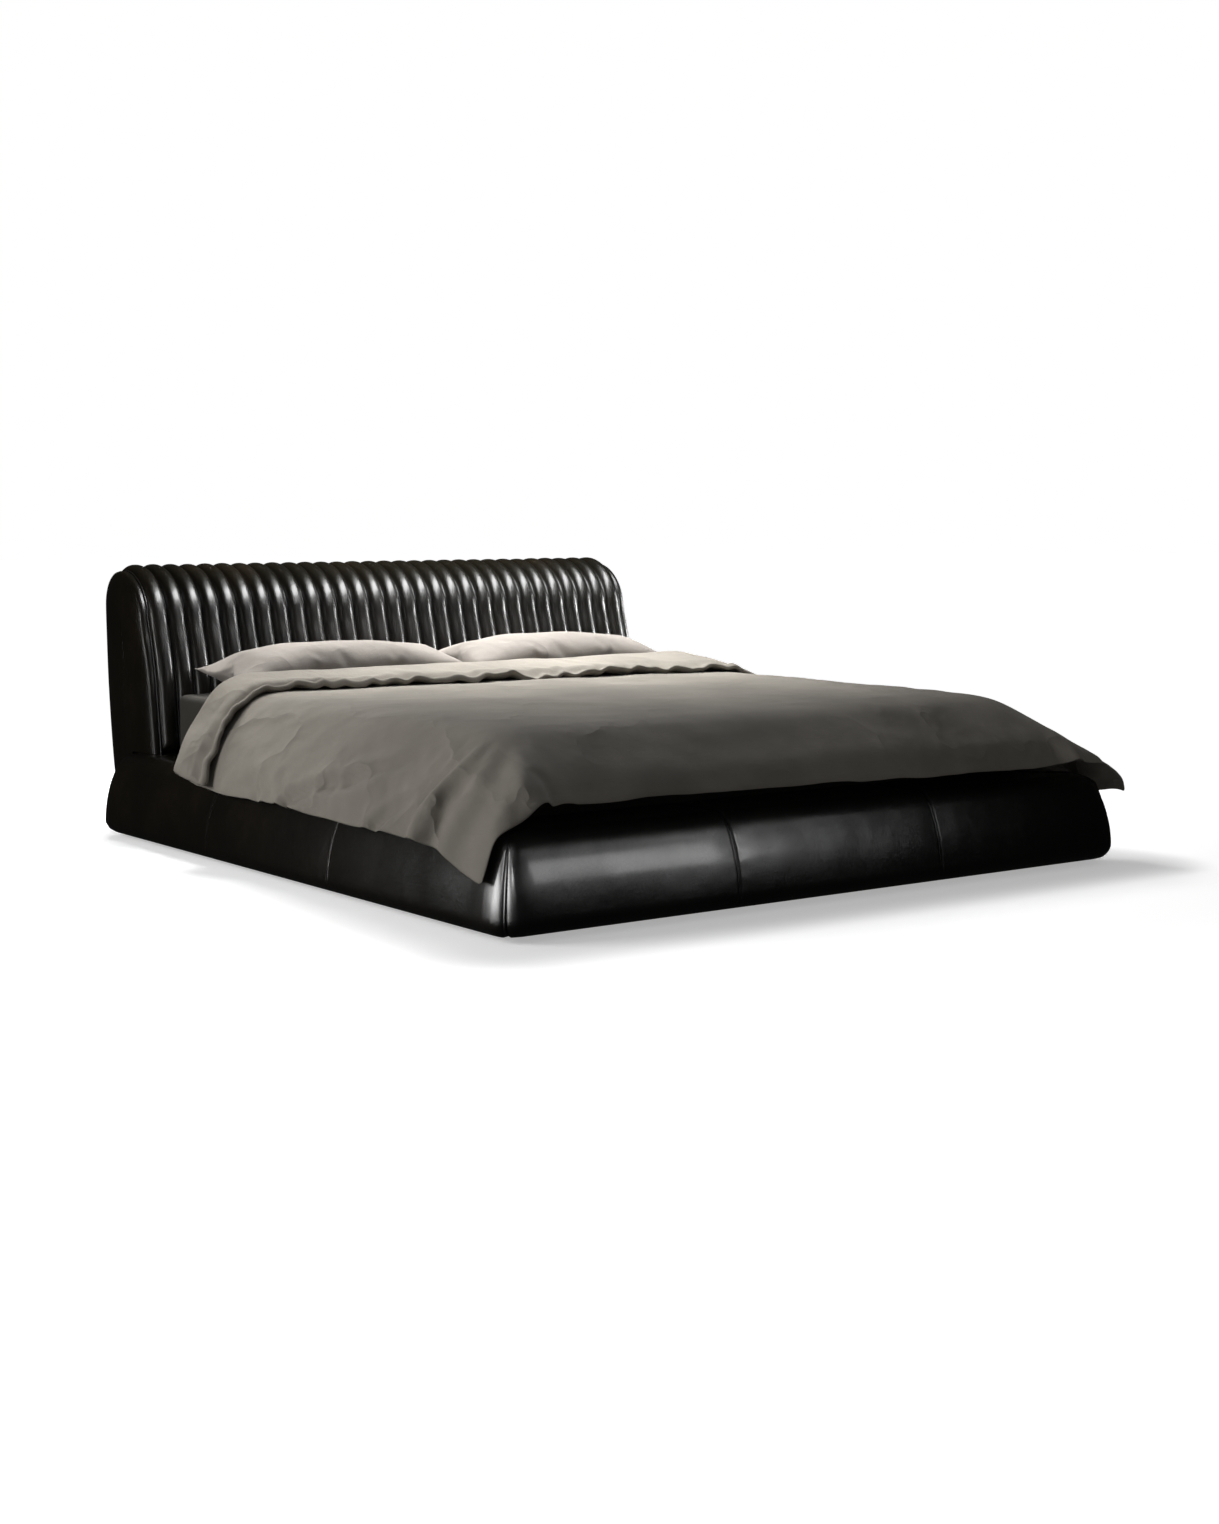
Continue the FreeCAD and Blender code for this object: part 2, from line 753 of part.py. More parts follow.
def channel_cushion():
    """One stuffed channel swept up the front, over the roll and down to the back seam, repeated
    across the headboard. Its section is a strip of foam with a round crest."""
    body = new_body("headboard_channels")
    span = (z.head_half_width - z.end_pad) * 2
    pitch = span / z.flute_count
    line = sketch_on(body, "YZ_Plane", "channel_path")
    front_radius = z.roll_top_y - z.roll_start_y
    radius = z.back_roll_radius
    draw(line, [
        (z.flute_low_y, z.flute_low_z),
        (z.seam_knee_y, z.seam_knee_z),
        (z.roll_top_y - front_radius, z.seam_top - front_radius),
        (z.roll_top_y, z.seam_top),
        (z.roll_top_y + radius, z.seam_top - radius),
        (z.roll_top_y + radius, z.flute_end_z),
    ], {1: (z.knee_arc, -1), 2: (front_radius, -1), 3: (radius, -1)}, closed=False)
    section = sketch_on(body, "XY_Plane", "channel_section", z.flute_low_z)
    left = -span / 2
    seam_y = z.flute_low_y
    crest = z.flute_crest
    crest_radius = Size(
        (pitch.value ** 2 / 4 + crest.value ** 2) / (2 * crest.value),
        f"((({pitch.text}) ^ 2 / 4 + {crest.text} ^ 2) / (2 * {crest.text}))",
    )
    draw(section, [
        (left, seam_y),
        (left + pitch, seam_y),
        (left + pitch, seam_y + z.foam),
        (left, seam_y + z.foam),
    ], {0: (crest_radius, 1)})
    pipe = body.newObject("PartDesign::AdditivePipe", "channel_run")
    pipe.Profile = section
    pipe.Spine = line
    doc.recompute()
    row = body.newObject("PartDesign::LinearPattern", "channel_row")
    row.Originals = [pipe]
    row.Direction = (section, ["H_Axis"])
    bind(row, "Length", span - pitch)
    row.Occurrences = DIMENSIONS["flute_count"]
    body.Tip = row
    keep(body, "headboard_channels")


def shell_strip(name, corners, arcs, span):
    """A closed sheet across the headboard whose side profile is a closed outline in Y and Z."""
    body = new_body(name)
    section = sketch_on(body, "YZ_Plane", name + "_section")
    draw(section, corners, arcs)
    pad(body, section, name + "_sheet", span, middle=True)
    keep(body, name)


def headboard_shell():
    """Thin ply skins over the formers, the back cover and the cover below the channels."""
    reach = (z.head_half_width - z.end_pad - 4) * 2
    skin = z.skin
    front_low = z.seam_low_y + z.foam
    front_knee = z.seam_knee_y + z.foam
    roll_start_z = z.seam_top - (z.roll_top_y - z.roll_start_y)
    front_top = front_knee + (z.roll_start_y - z.seam_knee_y) * SKIN_REACH
    top_z = z.seam_knee_z + (roll_start_z - z.seam_knee_z) * SKIN_REACH
    shell_strip("headboard_front_skin", [
        (front_low, z.head_low),
        (front_low + skin, z.head_low),
        (front_knee + skin, z.seam_knee_z),
        (front_top + skin, top_z),
        (front_top, top_z),
        (front_knee, z.seam_knee_z),
    ], {}, reach)
    back = z.roll_top_y + z.back_roll_radius - z.foam
    shell_strip("headboard_back_skin", [
        (z.back_low_y, z.head_low),
        (z.back_low_y + skin, z.head_low),
        (back, z.flute_end_z),
        (back, z.flute_end_z + z.back_skin_rise),
        (back - skin, z.flute_end_z + z.back_skin_rise),
        (back - skin, z.flute_end_z),
    ], {1: (z.back_sweep, 1), 5: (z.back_sweep, -1)}, reach)
    # leather and foam over the back skin, from the channels' end seam down to the floor gap
    shell_strip("headboard_back_cover", [
        (z.back_low_y + skin + 1, z.head_low - z.cover_low_gap),
        (z.back_low_y + skin + 1 + z.back_cover_thick, z.head_low - z.cover_low_gap),
        (z.head_y, z.flute_end_z - z.cover_low_gap),
        (back + 1, z.flute_end_z - z.cover_low_gap),
    ], {1: (z.back_sweep, 1), 3: (z.back_sweep, -1)}, reach)
    # plain leather over foam below the channels, hidden behind the mattress
    cover_front = z.seam_low_y + COVER_SET_BACK
    shell_strip("headboard_lower_cover", [
        (cover_front, z.head_low + 6),
        (front_low, z.head_low + 6),
        (z.flute_low_y + z.foam - 1, z.flute_low_z - 2),
        (cover_front, z.flute_low_z - 2),
    ], {}, reach)


def end_panel_outline():
    """The closed outline of the puffy end, on the seam line in front and the crest line behind."""
    front_radius = z.roll_top_y - z.roll_start_y
    radius = z.head_y - z.roll_top_y
    corners = [
        (z.end_low_y, z.head_low - z.cover_low_gap),
        (z.back_low_y + 35, z.head_low - z.cover_low_gap),
        (z.head_y, z.flute_end_z + 60),
        (z.head_y, z.seam_top - radius),
        (z.roll_top_y, z.seam_top),
        (z.roll_top_y - front_radius, z.seam_top - front_radius),
        (z.seam_knee_y, z.seam_knee_z),
    ]
    arcs = {1: (z.end_sweep, 1), 3: (radius, 1), 4: (front_radius, 1), 5: (z.knee_arc, 1)}
    return corners, arcs


def end_panels():
    body = new_body("headboard_end_left")
    section = sketch_on(body, "YZ_Plane", "end_panel_section", -z.head_half_width)
    draw(section, *end_panel_outline())
    plate = pad(body, section, "end_panel_plate", z.end_pad)
    doc.recompute()
    puff = body.newObject("PartDesign::Fillet", "end_panel_puff")
    outer = [
        f"Edge{n}" for n, edge in enumerate(plate.Shape.Edges, start=1)
        if abs(edge.CenterOfMass.x + DIMENSIONS["head_half_width"]) < 0.01
        and edge.CenterOfMass.z > DIMENSIONS["head_low"]
    ]
    puff.Base = (plate, outer)
    bind(puff, "Radius", z.end_puff)
    body.Tip = puff
    mirrored("headboard_end_right", keep(body, "headboard_end_left"))


def headboard_feet():
    """Two timber feet under the outer formers, and the bolts that tie the headboard to the base."""
    feet = []
    for side in (-1, 1):
        across = z.head_half_width * FORMER_PLACES[-1] * side
        feet.append(board(
            f"headboard_foot_{'right' if side > 0 else 'left'}",
            (across - z.foot_block_half, z.foot_block_front, 0),
            (across + z.foot_block_half, z.foot_block_back, z.head_low),
            hidden=True,
        ))
    group("headboard_feet", feet)
    bolts = []
    start = CROSS_Y + z.board
    for side in (-1, 1):
        for j, level in enumerate((z.tie_bolt_low, z.tie_bolt_high)):
            length = z.seam_low_y + COVER_SET_BACK - start
            bolt = rod(f"headboard_bolt_{side}_{j}", z.tie_bolt_radius, length, 0, 0, 0)
            bolt.Placement = Placement(Vector(), Rotation(Vector(1, 0, 0), -90))
            place(bolt, z.tie_bolt_x * side, start, level)
            bolts.append(bolt)
    group("headboard_bolts", bolts)


# ---------------------------------------------------------------- mattress and bedding
def mattress():
    """A block with rounded upright corners, and the fitted sheet as a skin over top and sides."""
    low = (-z.mattress_width / 2, z.mattress_foot_y, z.slat_top)
    high = (z.mattress_width / 2, z.mattress_foot_y + z.mattress_length, z.mattress_top)
    block = board("mattress_core", low, high, hidden=True)
    rounded = round_upright(block, "mattress_block", DIMENSIONS["mattress_round"])
    keep(rounded, "mattress")
    skin = z.sheet_thick
    outer = board(
        "sheet_outer",
        tuple(size - skin for size in low[:2]) + (z.slat_top + 2,),
        tuple(size + skin for size in high),
        hidden=True,
    )
    sheet_round = DIMENSIONS["mattress_round"] + DIMENSIONS["sheet_thick"]
    outer_round = round_upright(outer, "sheet_outer_round", sheet_round)
    sheet_cut = doc.addObject("Part::Cut", "fitted_sheet_skin")
    sheet_cut.Base = outer_round
    sheet_cut.Tool = rounded
    keep(sheet_cut, "fitted_sheet")


def round_upright(block, name, radius):
    """Rounds the four upright edges of a block."""
    doc.recompute()
    rounded = doc.addObject("Part::Fillet", name)
    rounded.Base = block
    upright = [
        n for n, edge in enumerate(block.Shape.Edges, start=1)
        if abs(edge.tangentAt(edge.FirstParameter).z) > 0.99
    ]
    rounded.Edges = [(n, float(radius), float(radius)) for n in upright]
    return rounded


def pillows():
    """Two plump pillows that lean a little on the headboard."""
    for name, middle in (("pillow_left", -z.pillow_middle), ("pillow_right", z.pillow_middle)):
        body = new_body(name)
        section = sketch_on(body, "YZ_Plane", name + "_section", middle)
        rear = z.mattress_foot_y + z.mattress_length - 22
        front = z.pillow_front_y
        base = z.mattress_top + z.sheet_thick + 1
        draw(section, [
            (front + 40, base),
            (rear - 50, base),
            (rear, base + 50),
            (rear, base + z.pillow_thick - 40),
            (rear - 80, base + z.pillow_thick),
            (front + 140, base + z.pillow_thick - 26),
            (front, base + 78),
            (front, base + 22),
        ])
        pad(body, section, name + "_pad", z.pillow_length, middle=True)
        keep(body, name)


def duvet():
    """A thick quilt, open below: a flat top, three sides that slope down over the padded rails,
    and a double thickness where it is folded back at the head."""
    clear = 4
    rail_face = z.half_width - z.pad_lean        # how far out the rail is at the hem's height
    under = z.mattress_top + z.sheet_thick + clear
    outer = loft(
        "duvet_outer",
        (z.half_width - 2, z.foot_y + 2, z.duvet_hem),
        (z.mattress_width / 2 + z.duvet_spread, z.mattress_foot_y - 30, z.duvet_top),
    )
    inner = loft(
        "duvet_inner",
        (rail_face + 10, z.foot_y + z.pad_lean - 10, z.duvet_hem - 1),
        (z.mattress_width / 2 + z.duvet_spread, z.mattress_foot_y - 10, under),
    )
    shell = doc.addObject("Part::Cut", "duvet_shell")
    shell.Base = outer
    shell.Tool = inner
    fold = board(
        "duvet_fold",
        (-z.mattress_width / 2 - z.duvet_spread, z.duvet_head_y - z.duvet_fold, z.duvet_top - 2),
        (z.mattress_width / 2 + z.duvet_spread, z.duvet_head_y, z.duvet_top + z.fold_thick),
        hidden=True,
    )
    keep(fused("duvet_joined", [shell, fold]), "duvet")


def loft(name, low, high):
    """A straight-sided hull from a low rectangle to a high one, open towards the head. Each is
    given as its half width, its foot end and its height."""
    rectangles = []
    for tag, (half, front, level) in (("low", low), ("high", high)):
        plane = doc.addObject("Part::Plane", f"{name}_{tag}")
        bind(plane, "Length", half * 2)
        bind(plane, "Width", z.duvet_head_y - front)
        place(plane, -half, front, level)
        rectangles.append(plane)
    hull = doc.addObject("Part::Loft", name)
    hull.Sections = rectangles
    hull.Solid = True
    hull.Ruled = True
    return hull


# ---------------------------------------------------------------- build, check and export
side_left = side_rail_pad()
mirrored("side_pad_right", side_left)
foot_rail_pad()
box_rails()
inner_structure()
centre_support()
slats()
floor_glides()
headboard_frame()
channel_cushion()
headboard_shell()
end_panels()
headboard_feet()
mattress()
pillows()
duvet()
doc.recompute()

for feature in doc.Objects:
    if "Invalid" in feature.State or "Error" in feature.State:
        raise RuntimeError(f"{feature.Name} failed to compute: {feature.State}")
for name, feature in NODES.items():
    if feature.Shape.isNull() or not feature.Shape.isValid():
        raise RuntimeError(f"{name} has no valid shape")

os.makedirs("parts", exist_ok=True)
for name, feature in NODES.items():
    feature.Shape.exportStep(f"parts/{name}.step")
    box = feature.Shape.BoundBox
    print(f"{name:26s} solids {len(feature.Shape.Solids):3d}  volume {feature.Shape.Volume / 1e6:9.2f} l"
          f"  x {box.XMin:7.1f} {box.XMax:7.1f}  y {box.YMin:7.1f} {box.YMax:7.1f}"
          f"  z {box.ZMin:6.1f} {box.ZMax:6.1f}")
print(len(NODES), "nodes")
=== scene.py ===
# %% [markdown]
# # A channelled leather sleigh bed, made up with cotton bedding
#
# The bed has a low box base in padded black leather, a fat headboard whose stuffed channels run up
# the front and over a rolled top, a mattress, two pillows and a duvet that is folded back at the head.
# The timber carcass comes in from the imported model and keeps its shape. Everything soft is built here,
# over the plain solids that stand for it.

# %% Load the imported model
import math
import bpy
import bmesh
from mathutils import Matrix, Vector, noise


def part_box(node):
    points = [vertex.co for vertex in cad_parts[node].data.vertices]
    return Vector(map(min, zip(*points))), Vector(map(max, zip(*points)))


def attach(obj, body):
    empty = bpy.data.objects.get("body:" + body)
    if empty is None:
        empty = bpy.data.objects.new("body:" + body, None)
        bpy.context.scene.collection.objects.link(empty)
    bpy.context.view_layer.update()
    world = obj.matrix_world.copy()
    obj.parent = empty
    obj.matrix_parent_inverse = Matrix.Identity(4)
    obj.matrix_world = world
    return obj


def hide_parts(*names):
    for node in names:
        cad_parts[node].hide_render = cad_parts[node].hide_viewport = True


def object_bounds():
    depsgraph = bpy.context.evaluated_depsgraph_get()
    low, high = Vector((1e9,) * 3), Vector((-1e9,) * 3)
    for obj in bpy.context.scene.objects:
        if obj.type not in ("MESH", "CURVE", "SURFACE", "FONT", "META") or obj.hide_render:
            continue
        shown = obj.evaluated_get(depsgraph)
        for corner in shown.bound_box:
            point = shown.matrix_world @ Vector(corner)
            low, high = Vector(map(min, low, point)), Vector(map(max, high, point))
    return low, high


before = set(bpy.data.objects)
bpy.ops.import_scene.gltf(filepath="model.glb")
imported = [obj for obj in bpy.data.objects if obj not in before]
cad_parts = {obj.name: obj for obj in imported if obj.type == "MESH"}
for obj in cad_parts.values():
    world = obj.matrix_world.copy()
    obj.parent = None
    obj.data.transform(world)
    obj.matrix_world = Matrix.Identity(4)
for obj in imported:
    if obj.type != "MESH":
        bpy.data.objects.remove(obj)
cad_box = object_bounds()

BASE = "bed_frame"

# %% [markdown]
# ## Shader maths as plain expressions
#
# A material's patterns are sums and products of a few textures. Blender writes each one as a Math
# node, which is slow to read back. The class below wraps a socket, so that `1 - mask * 0.3` adds the
# nodes itself, and one method adds every other kind of node.


# %% A socket that can be added, multiplied and blended
class Wire:
    """An output socket. Sums written with it become Math nodes in the same tree."""

    def __init__(self, finish, socket):
        self.finish = finish
        self.socket = socket

    def math(self, operation, first, second=0.0):
        settings = {"operation": operation}
        return self.finish.node("Math", settings, {0: first, 1: second})

    def __add__(self, other):
        return self.math("ADD", self, other)

    def __sub__(self, other):
        return self.math("SUBTRACT", self, other)

    def __rsub__(self, other):
        return self.math("SUBTRACT", other, self)

    def __mul__(self, other):
        return self.math("MULTIPLY", self, other)

    def __pow__(self, other):
        return self.math("POWER", self, other)

    __radd__ = __add__
    __rmul__ = __mul__

    def most(self, other):
        return self.math("MAXIMUM", self, other)

    def size(self):
        return self.math("ABSOLUTE", self)

    def wave(self):
        return self.math("SINE", self)

    def rise(self, start, end):
        """0 before start, 1 after end, with a soft step between them."""
        settings = {"interpolation_type": "SMOOTHSTEP"}
        return self.finish.node("MapRange", settings, {"Value": self, 1: start, 2: end})


class Finish:
    """A material under construction."""

    def __init__(self, name, **constants):
        self.material = bpy.data.materials.new(name)
        self.material.use_nodes = True
        self.tree = self.material.node_tree
        self.shader = self.tree.nodes["Principled BSDF"]
        for socket, value in constants.items():
            self.shader.inputs[socket.replace("_", " ")].default_value = value
        self.place = self.node("TexCoord", out="Object")

    def node(self, kind, settings=None, values=None, out=0):
        made = self.tree.nodes.new("ShaderNode" + kind)
        for key, value in (settings or {}).items():
            if key == "stops":
                self.set_stops(made.color_ramp, value)
            else:
                setattr(made, key, value)
        for socket, value in (values or {}).items():
            if isinstance(value, Wire):
                self.tree.links.new(value.socket, made.inputs[socket])
            else:
                made.inputs[socket].default_value = value
        return Wire(self, made.outputs[out])

    def set_stops(self, ramp, stops):
        while len(ramp.elements) < len(stops):
            ramp.elements.new(0.5)
        for element, (position, colour) in zip(ramp.elements, stops):
            element.position = position
            element.color = (*colour, 1)

    def clouds(self, scale, detail=3, rough=0.5, place=None):
        """Soft noise, from 0 to 1. The scale is in clouds per metre."""
        values = {"Vector": place or self.place, "Scale": scale, "Detail": detail, "Roughness": rough}
        return self.node("TexNoise", None, values)

    def cells(self, scale, feature="F1"):
        """Distances in a random net of cells. The scale is in cells per metre."""
        settings = {"feature": feature}
        return self.node("TexVoronoi", settings, {"Vector": self.place, "Scale": scale})

    def stretch(self, x, y, z):
        """The object's own space, drawn out along an axis where its number is below 1."""
        return self.node("Mapping", None, {"Vector": self.place, "Scale": (x, y, z)})

    def along(self, axis):
        """Metres along one axis of the object: 0 is across the bed, 1 its length, 2 its height."""
        return self.node("SeparateXYZ", None, {0: self.place}, out=axis)

    def blend(self, share, first, second):
        """A colour between two colours, by a share from 0 to 1."""
        settings = {"data_type": "RGBA"}
        first = first if isinstance(first, Wire) else (*first, 1)
        second = second if isinstance(second, Wire) else (*second, 1)
        return self.node("Mix", settings, {0: share, 6: first, 7: second}, out=2)

    def set(self, **links):
        for socket, wire in links.items():
            self.tree.links.new(wire.socket, self.shader.inputs[socket.replace("_", " ")])
        return self

    def relief(self, *layers):
        """Bump layers, each a height from 0 to 1 and its depth in metres, fed to Normal."""
        normal = None
        for height, depth in layers:
            values = {"Height": height, "Distance": depth, "Strength": 1.0}
            if normal:
                values["Normal"] = normal
            normal = self.node("Bump", None, values)
        return self.set(Normal=normal)


def turns(pitch):
    """What a distance is multiplied by, so that a wave along it repeats at every pitch."""
    return 2 * math.pi / pitch


def darker(colour, share):
    return tuple(c * share for c in colour)


print("a finish has", len([word for word in dir(Finish) if word[0] != "_"]), "helpers of its own")

# %% [markdown]
# ## Black leather
#
# Finished upholstery hide is dyed right through and sprayed with a clear top coat, so it is nearly
# black with a warm brown undertone where it is stretched thin, and it reflects the studio lights in
# soft streaks. The grain is a net of fine pebbles about 1.5 mm across. On top of it come pull lines,
# a few centimetres long, and slow swells where the foam below is uneven. A scan of a hide could be
# tiled over it, but it would need unwrapping, so cells and noise in object space are used.

# %% Leather
PEBBLES_PER_METRE = 620
SWELLS_PER_METRE = 5


def leather(name, dark, brown):
    """Black hide. The brown shows in patches where it is stretched thin."""
    finish = Finish(name, IOR=1.5, Coat_Roughness=0.16, Coat_IOR=1.45, Specular_IOR_Level=0.5)
    pebbles = finish.cells(PEBBLES_PER_METRE, "DISTANCE_TO_EDGE").rise(0.0, 0.32)
    pores = finish.cells(210).rise(0.0, 0.35)
    pulls = finish.clouds(16, 4, 0.55, finish.stretch(1.0, 1.0, 0.35))
    swells = finish.clouds(SWELLS_PER_METRE, 2)
    worn = finish.clouds(3.2, 4, 0.6)
    colour = finish.blend(worn.rise(0.45, 0.75) * 0.8, dark, brown)
    colour = finish.blend((1 - pebbles) * 0.5, colour, (0.002, 0.002, 0.002))
    finish.set(
        Base_Color=colour,
        Roughness=0.2 + worn * 0.12 + (1 - pebbles) * 0.06,
        Coat_Weight=0.25 + worn * 0.2,
    )
    finish.relief((swells, 0.005), (pulls, 0.0011), (pores, 0.00012), (pebbles, 0.00009))
    print(f"{name}: pebbles {1000 / PEBBLES_PER_METRE:.1f} mm, swells {1000 / SWELLS_PER_METRE:.0f} mm")
    return finish.material


BLACK_LEATHER = leather("black_leather", (0.0046, 0.0038, 0.002), (0.012, 0.008, 0.004))
WELT_LEATHER = leather("welt_leather", (0.005, 0.0045, 0.004), (0.012, 0.008, 0.006))

# %% [markdown]
# ## Washed cotton
#
# The bedding is a plain cotton satin, washed until it is limp. Seen close, its yarns cross at about
# 0.6 mm, one set a little brighter than the other. From further off it shows slubs, faint creases
# left by washing, and a soft bloom of loose fibre at its edges, which the sheen gives.


# %% Cotton
YARN = 0.0006
CREASE_EDGE = (0.92, 1.08)  # how far out across the bed the sharper creases begin


def cotton(name, shade, creased=0.003):
    """Washed cotton. Creased is the depth of its sharper creases, in metres."""
    finish = Finish(name, Specular_IOR_Level=0.08, Sheen_Weight=0.06, Sheen_Roughness=0.45)
    warp = (finish.along(0) * turns(YARN)).wave()
    weft = ((finish.along(1) + finish.along(2)) * turns(YARN)).wave()
    weave = (warp * weft) * 0.5 + 0.5
    slubs = finish.clouds(60, 3, 0.6, finish.stretch(0.25, 3.0, 3.0))
    fades = finish.clouds(2.5, 4, 0.6)
    creases = finish.clouds(9, 5, 0.62, finish.stretch(1.0, 0.55, 1.0))
    lines = 1 - (finish.clouds(3.4, 3, 0.5, finish.stretch(1.0, 0.7, 0.8)) * 2 - 1).size()
    crumpled = finish.clouds(1.7, 2).rise(0.42, 0.62)
    sides = finish.along(0).size().rise(*CREASE_EDGE)
    crisp = (lines ** 5) * crumpled.most(sides * 1.6)
    light = tuple(min(1, c * 1.14) for c in shade)
    dark = darker(shade, 0.86)
    colour = finish.blend(fades.rise(0.3, 0.7), dark, light)
    colour = finish.blend(slubs.rise(0.45, 0.8) * 0.35, colour, dark)
    colour = finish.blend((1 - weave) * 0.22, colour, darker(shade, 0.6))
    finish.set(Base_Color=colour, Roughness=0.72 + slubs * 0.2)
    finish.relief((crisp, creased), (creases, 0.0035), (slubs, 0.0004), (weave, 0.00012))
    print(f"{name}: {0.01 / YARN:.0f} threads per cm, creases {creased * 1000:.0f} mm deep")
    return finish.material


BEDDING = cotton("bedding_cotton", (0.207, 0.19, 0.163), 0.009)
CASING = cotton("pillowcase_cotton", (0.205, 0.187, 0.168), 0.006)
# The sheet's near-black colour is painted shade, darkened to stand for the shadow between the pillows
# and the duvet's fold.
SHEETING_PAINTED_SHADE = cotton("sheet_cotton", (0.04, 0.037, 0.031))

# %% [markdown]
# ## Ticking, timber and hardware
#
# The mattress is quilted ticking. The carcass is plywood and pine, the slats are bent beech, and the
# small parts are zinc, black-coated steel and moulded plastic. All of them are hidden once the bed
# is made, but they show as soon as the mattress is lifted out.


# %% Ticking
QUILTING = 0.11
STRIPE = 0.014


def ticking():
    """Striped cotton over wadding, quilted in diamonds."""
    finish = Finish("mattress_ticking", Specular_IOR_Level=0.2, Sheen_Weight=0.2, Roughness=0.85)
    across = finish.along(0) + finish.along(1)
    back = finish.along(0) - finish.along(1)
    ridge = ((across * turns(QUILTING)).wave() * (back * turns(QUILTING)).wave()) * 0.5 + 0.5
    stripe = (finish.along(0) * turns(STRIPE)).wave().rise(0.55, 0.9)
    knit = finish.cells(900)
    colour = finish.blend(stripe * 0.35, (0.68, 0.66, 0.61), (0.42, 0.43, 0.44))
    colour = finish.blend(finish.clouds(5) * 0.2, colour, (0.5, 0.48, 0.44))
    finish.set(Base_Color=colour)
    finish.relief((ridge, 0.006), (knit, 0.0002))
    return finish.material


TICKING = ticking()
print(f"ticking: a stripe each {STRIPE * 1000:.0f} mm, quilted each {QUILTING * 1000:.0f} mm")


# %% Timber: rings for solid wood, and thin plies on the edges of plywood
PLY = 0.0036


def timber(name, pale, deep, grain=(1.0, 0.06, 1.0), plies=False):
    finish = Finish(name, Specular_IOR_Level=0.35)
    stretched = finish.stretch(*grain)
    rings = (finish.clouds(22, 4, 0.6, stretched) * 38).wave() * 0.5 + 0.5
    pores = finish.clouds(420, 2, 0.5, stretched).rise(0.5, 0.75)
    colour = finish.blend(rings * 0.6, pale, deep)
    colour = finish.blend(pores * 0.35, colour, darker(deep, 0.55))
    if plies:
        layers = (finish.along(2) * turns(PLY)).wave().rise(-0.2, 0.3)
        edge = finish.node("NewGeometry", out="Normal")
        up = finish.node("SeparateXYZ", None, {0: edge}, out=2)
        side = 1 - (up * up).rise(0.3, 0.7)
        colour = finish.blend(layers * side * 0.3, colour, darker(deep, 0.5))
    finish.set(Base_Color=colour, Roughness=0.5 + pores * 0.25)
    finish.relief((rings, 0.0002), (pores, 0.00015))
    return finish.material


PLYWOOD = timber("birch_plywood", (0.62, 0.47, 0.3), (0.5, 0.35, 0.2), plies=True)
PINE = timber("pine", (0.68, 0.5, 0.3), (0.52, 0.33, 0.16))
STAINED = timber("black_stained_ply", (0.02, 0.018, 0.016), (0.011, 0.01, 0.009))
BEECH = timber("beech", (0.6, 0.42, 0.26), (0.5, 0.33, 0.19), (0.08, 1.0, 1.0))


# %% Metal and plastic
def metal(name, shade, rough, coated=False):
    finish = Finish(name, Metallic=0.0 if coated else 1.0)
    brushed = finish.clouds(90, 4, 0.6, finish.stretch(1.0, 1.0, 14.0))
    scuffs = finish.clouds(24, 5, 0.7).rise(0.55, 0.72)
    colour = finish.blend(scuffs * 0.4, shade, darker(shade, 0.6))
    finish.set(Base_Color=colour, Roughness=rough + brushed * 0.15 + scuffs * 0.15)
    finish.relief((finish.clouds(700, 2) if coated else brushed, 0.00006))
    return finish.material


ZINC = metal("zinc_steel", (0.6, 0.6, 0.58), 0.28)
COATED = metal("coated_steel", (0.035, 0.035, 0.036), 0.45, coated=True)
PLASTIC = metal("moulded_plastic", (0.03, 0.03, 0.031), 0.5, coated=True)
print(len(bpy.data.materials), "finishes so far")

# %% The carcass keeps its shape and gets these finishes, the first whose words fit
CARCASS = (
    (ZINC, ("bolts", "levelling")),
    (COATED, ("hanger", "centre_leg")),
    (PLASTIC, ("glides", "caps")),
    (BEECH, ("slats",)),
    (STAINED, ("plinth",)),
    (PLYWOOD, ("board", "ribs", "former", "skin")),
    (PINE, ("cross_rail", "ledge", "blocks", "beam_", "centre_beam", "_feet", "_rail")),
)


def finish_for(name):
    for material, words in CARCASS:
        if any(word in name for word in words):
            return material
    return None


dressed = 0
for name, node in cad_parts.items():
    material = finish_for(name)
    if material:
        node.data.materials.clear()
        node.data.materials.append(material)
        dressed += 1
print(dressed, "carcass nodes dressed")

# %% [markdown]
# ## Building soft shapes from rings
#
# Every padded piece is a row of closed rings, joined ring to ring and closed at both ends, as a
# sausage skin is. That gives closed meshes, and each ring can be pushed in at a seam or swollen
# between seams. Sculpting by hand would look as good, but it can't be repeated from a script.


# %% Rings into a closed mesh
def close_end(mesh, row, flat_layer):
    """Closes an end ring with one face, or with a strip of faces where the ring is a thin layer's."""
    if not flat_layer:
        mesh.faces.new(row)
        return
    for k in range(len(row) // 2 - 1):
        mesh.faces.new((row[k], row[k + 1], row[-k - 2], row[-k - 1]))


def from_rings(name, rings, material, closed=False, body=BASE, flat_layer=False):
    """A closed mesh through rings that all have the same number of points."""
    mesh = bmesh.new()
    rows = [[mesh.verts.new(point) for point in ring] for ring in rings]
    pairs = list(zip(rows, rows[1:] + rows[:1])) if closed else list(zip(rows, rows[1:]))
    count = len(rows[0])
    for low, high in pairs:
        for i in range(count):
            j = (i + 1) % count
            mesh.faces.new((low[i], low[j], high[j], high[i]))
    if not closed:
        close_end(mesh, rows[0], flat_layer)
        close_end(mesh, rows[-1], flat_layer)
    bmesh.ops.remove_doubles(mesh, verts=mesh.verts, dist=2e-5)
    bmesh.ops.recalc_face_normals(mesh, faces=mesh.faces)
    return piece_from(name, mesh, material, body)


